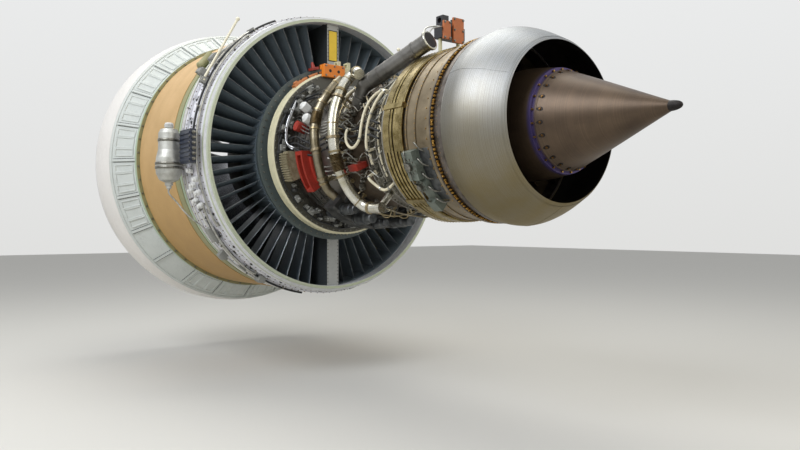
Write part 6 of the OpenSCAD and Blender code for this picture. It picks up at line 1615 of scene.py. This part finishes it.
for k, (c0, c1, r) in enumerate(((30, 92, 0.812), (44, 90, 0.79), (60, 134, 0.826), (138, 212, 0.81),
                                 (216, 300, 0.80), (224, 322, 0.824), (300, 346, 0.80))):
    c = np.linspace(c0, c1, 15)
    knots = np.c_[232 + 8 * np.sin(c * 0.4 + k), c, 1000 * (r + 0.008 * np.sin(c * 0.3 + 2 * k))]
    loops.append(sweep(route(knots, 4), 0.009 if k % 2 else 0.007, 10))
    for i in range(1, 15, 3):
        place = knots[i]
        loops.append(rearward(block((-0.006, -0.006, -place[0] / 1000 + WEB_X), (0.006, 0.006, 0.0)),
                              place[0] / 1000, place[1], place[2] / 1000))
piece("web_boxes", web_parts, "bracket_grey", bevel_mm=1.5)
piece("web_sensors", web_dark, "gearbox_metal")
piece("web_fittings", web_light, "tube_steel")
piece("web_loops", loops, "harness_black", smooth_deg=60)
lilac = [[[250, 52, 800], [262, 60, 790], [272, 74, 786], [300, 86, 770], [380, 90, 740]],
         [[250, 54.5, 786], [262, 62, 776], [272, 75, 772], [300, 87, 758], [380, 92, 730]]]
pair = [sweep(route([[WEB_X * 1000 + 2, k[0][1], k[0][2]], *k, [400, k[-1][1] + 1, 652]], 7), 0.0085, 14)
        for k in lilac]
piece("lilac_tube_pair", pair, "lip_metal", smooth_deg=60)
print("web fittings:", len(web_parts) + len(web_dark) + len(web_light))

# %% [markdown]
# A thin gold-filmed shroud lies over the turbine's cooling tubes in two bands, with rows of pale
# rivets along its edges. The valve on the case gets its bolts and the levers and lines around it,
# and the rear mount its nuts.

# %% Gold bands, valve and mount fittings
shroud = [hoop(x0, x1, 0.7545, 0.7565, 240, (146, 464)) for x0, x1 in ((1.914, 1.996), (2.076, 2.152))]
piece("gold_shroud", shroud, "gold_tube")
clocks = around(130)
clocks = clocks[(clocks < 104) | (clocks > 146)]
dots = [standing(dome(0.005, 0.004, 6), x, clocks, 0.7566) for x in (1.921, 1.989, 2.083, 2.146)]
piece("shroud_rivets", dots, "manifold_steel")
case_rows = [standing(hex_bolt(0.012, 0.008), x, around(100, 1.0), core_r(x) + 0.0004)
             for x in (2.185, 2.195)]
band_rows = [standing(dome(0.005, 0.003, 6), x, around(120, 1.5), 0.7493) for x in (2.212, 2.326)]
piece("case_band_rivets", [*case_rows, *band_rows], "nut_gold")
valve_bolts = []
for x, clock, r, ring_r, count in ((2.290, 113, 0.830, 0.060, 10), (2.300, 126, 0.810, 0.042, 8)):
    spot = outwards(x, clock, r + 0.0002)
    ring_places = spot @ frames(np.c_[ring_r * circle(count), np.zeros(count)], [1.0, 0, 0], [0, 0, 1.0])
    valve_bolts.append(copies(hex_bolt(0.014, 0.009), ring_places))
    cover = turned([[ring_r * 0.6, 0], [ring_r * 0.6, 0.03], [ring_r * 0.4, 0.036]], 20)
    valve_bolts.append(copies(cover, spot))
piece("valve_bolts", valve_bolts, "fastener_dull")
LEVER = ((0, 0, 832), (14, 3, 846), (6, 7, 838), (0, 10, 790))
levers = [sweep(route([[x + dx, c + dc, h] for dx, dc, h in LEVER], 6), 0.006, 8)
          for x, c in ((2262, 104), (2268, 116), (2300, 128))]
levers += [sweep(route(run, 6), 0.008, 10)
           for run in fanned([[2340, 100, 778], [2372, 101, 792], [2400, 104, 782], [2416, 106, 746]], 5, 9)]
piece("valve_levers", levers, "fastener_dull", smooth_deg=60)
piece("valve_panel", hoop(2.350, 2.470, 0.7455, 0.7515, 40, (104, 140)), "unit_metal",
      bevel_mm=1.5)
mount_bolts = [[1.9823, y, z] for y, z in (
    (-0.122, 0.875), (-0.062, 0.875), (-0.122, 1.011), (-0.062, 1.011), (-0.008, 0.86),
    (0.094, 0.86), (-0.008, 1.054), (0.094, 1.054), (-0.008, 0.957), (0.094, 0.957))]
piece("mount_bolts", copies(hex_bolt(0.018, 0.012), facing_aft(mount_bolts)), "fastener_dull")
links = [sweep(smooth_path([[1.90, s * y, z] for y, z in ((0.105, 0.72), (0.106, 0.80), (0.107, 0.879))], 6),
               0.017, 16) for s in (-1, 1)]
piece("mount_links", links, "mount_pale", smooth_deg=60)
big_nuts = [rearward(stud_nut(0.022, 0.014, 0.008), 2.5445, around(75, s), 0.7600) for s in (0.0, 2.4)]
piece("turbine_rear_nuts", big_nuts, "nut_gold")
extra_runs = fanned([[990, 50, 90], [1090, 54, 60], [1200, 48, 50], [1400, 56, 60], [1540, 50, 60],
                     [1700, 56, 50], [1850, 50, 60]], 6, 13)
bundle("thin_lines", extra_runs, 0.005, "tube_steel", 14, 8)
ring_runs = [[[x, c, h] for c in range(c0, c1, 8)] for x, h, c0, c1 in (
    (1530, 28, 34, 130), (1550, 28, 34, 130), (1740, 26, 34, 130), (1020, 60, 34, 130),
    (1530, 28, 232, 330), (1740, 26, 232, 330), (1020, 60, 232, 330))]
bundle("ring_lines", ring_runs, 0.008, "cream_tube", 18)
square = merge(block((-0.03, -0.02, 0), (0.03, 0.02, 0.035)),
               turned([[0.010, 0.035], [0.010, 0.055], [0.014, 0.057], [0.014, 0.066]], 10))
small_square = merge(block((-0.022, -0.025, 0), (0.022, 0.025, 0.03)),
                     turned([[0.016, 0.03], [0.016, 0.05], [0.008, 0.06]], 10))
cubes = []
for k, clock in enumerate(np.arange(44, 132, 6.5)):
    x = 1.60 + 0.06 * math.sin(k * 2.1)
    cubes.append(standing(square, x, clock, core_r(x) + 0.003))
    x = 1.28 + 0.08 * math.sin(k * 1.3)
    cubes.append(standing(small_square, x, clock + 3, core_r(x) + 0.001))
piece("core_blocks", cubes, "fastener_dull", bevel_mm=1.5)
print("rear mount:", len(mount_bolts), "bolts")

# %% Sizes and end
print("pieces:", len(tally), "triangles:", sum(tally.values()))
low, high = [list(map(float, corner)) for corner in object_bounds()]
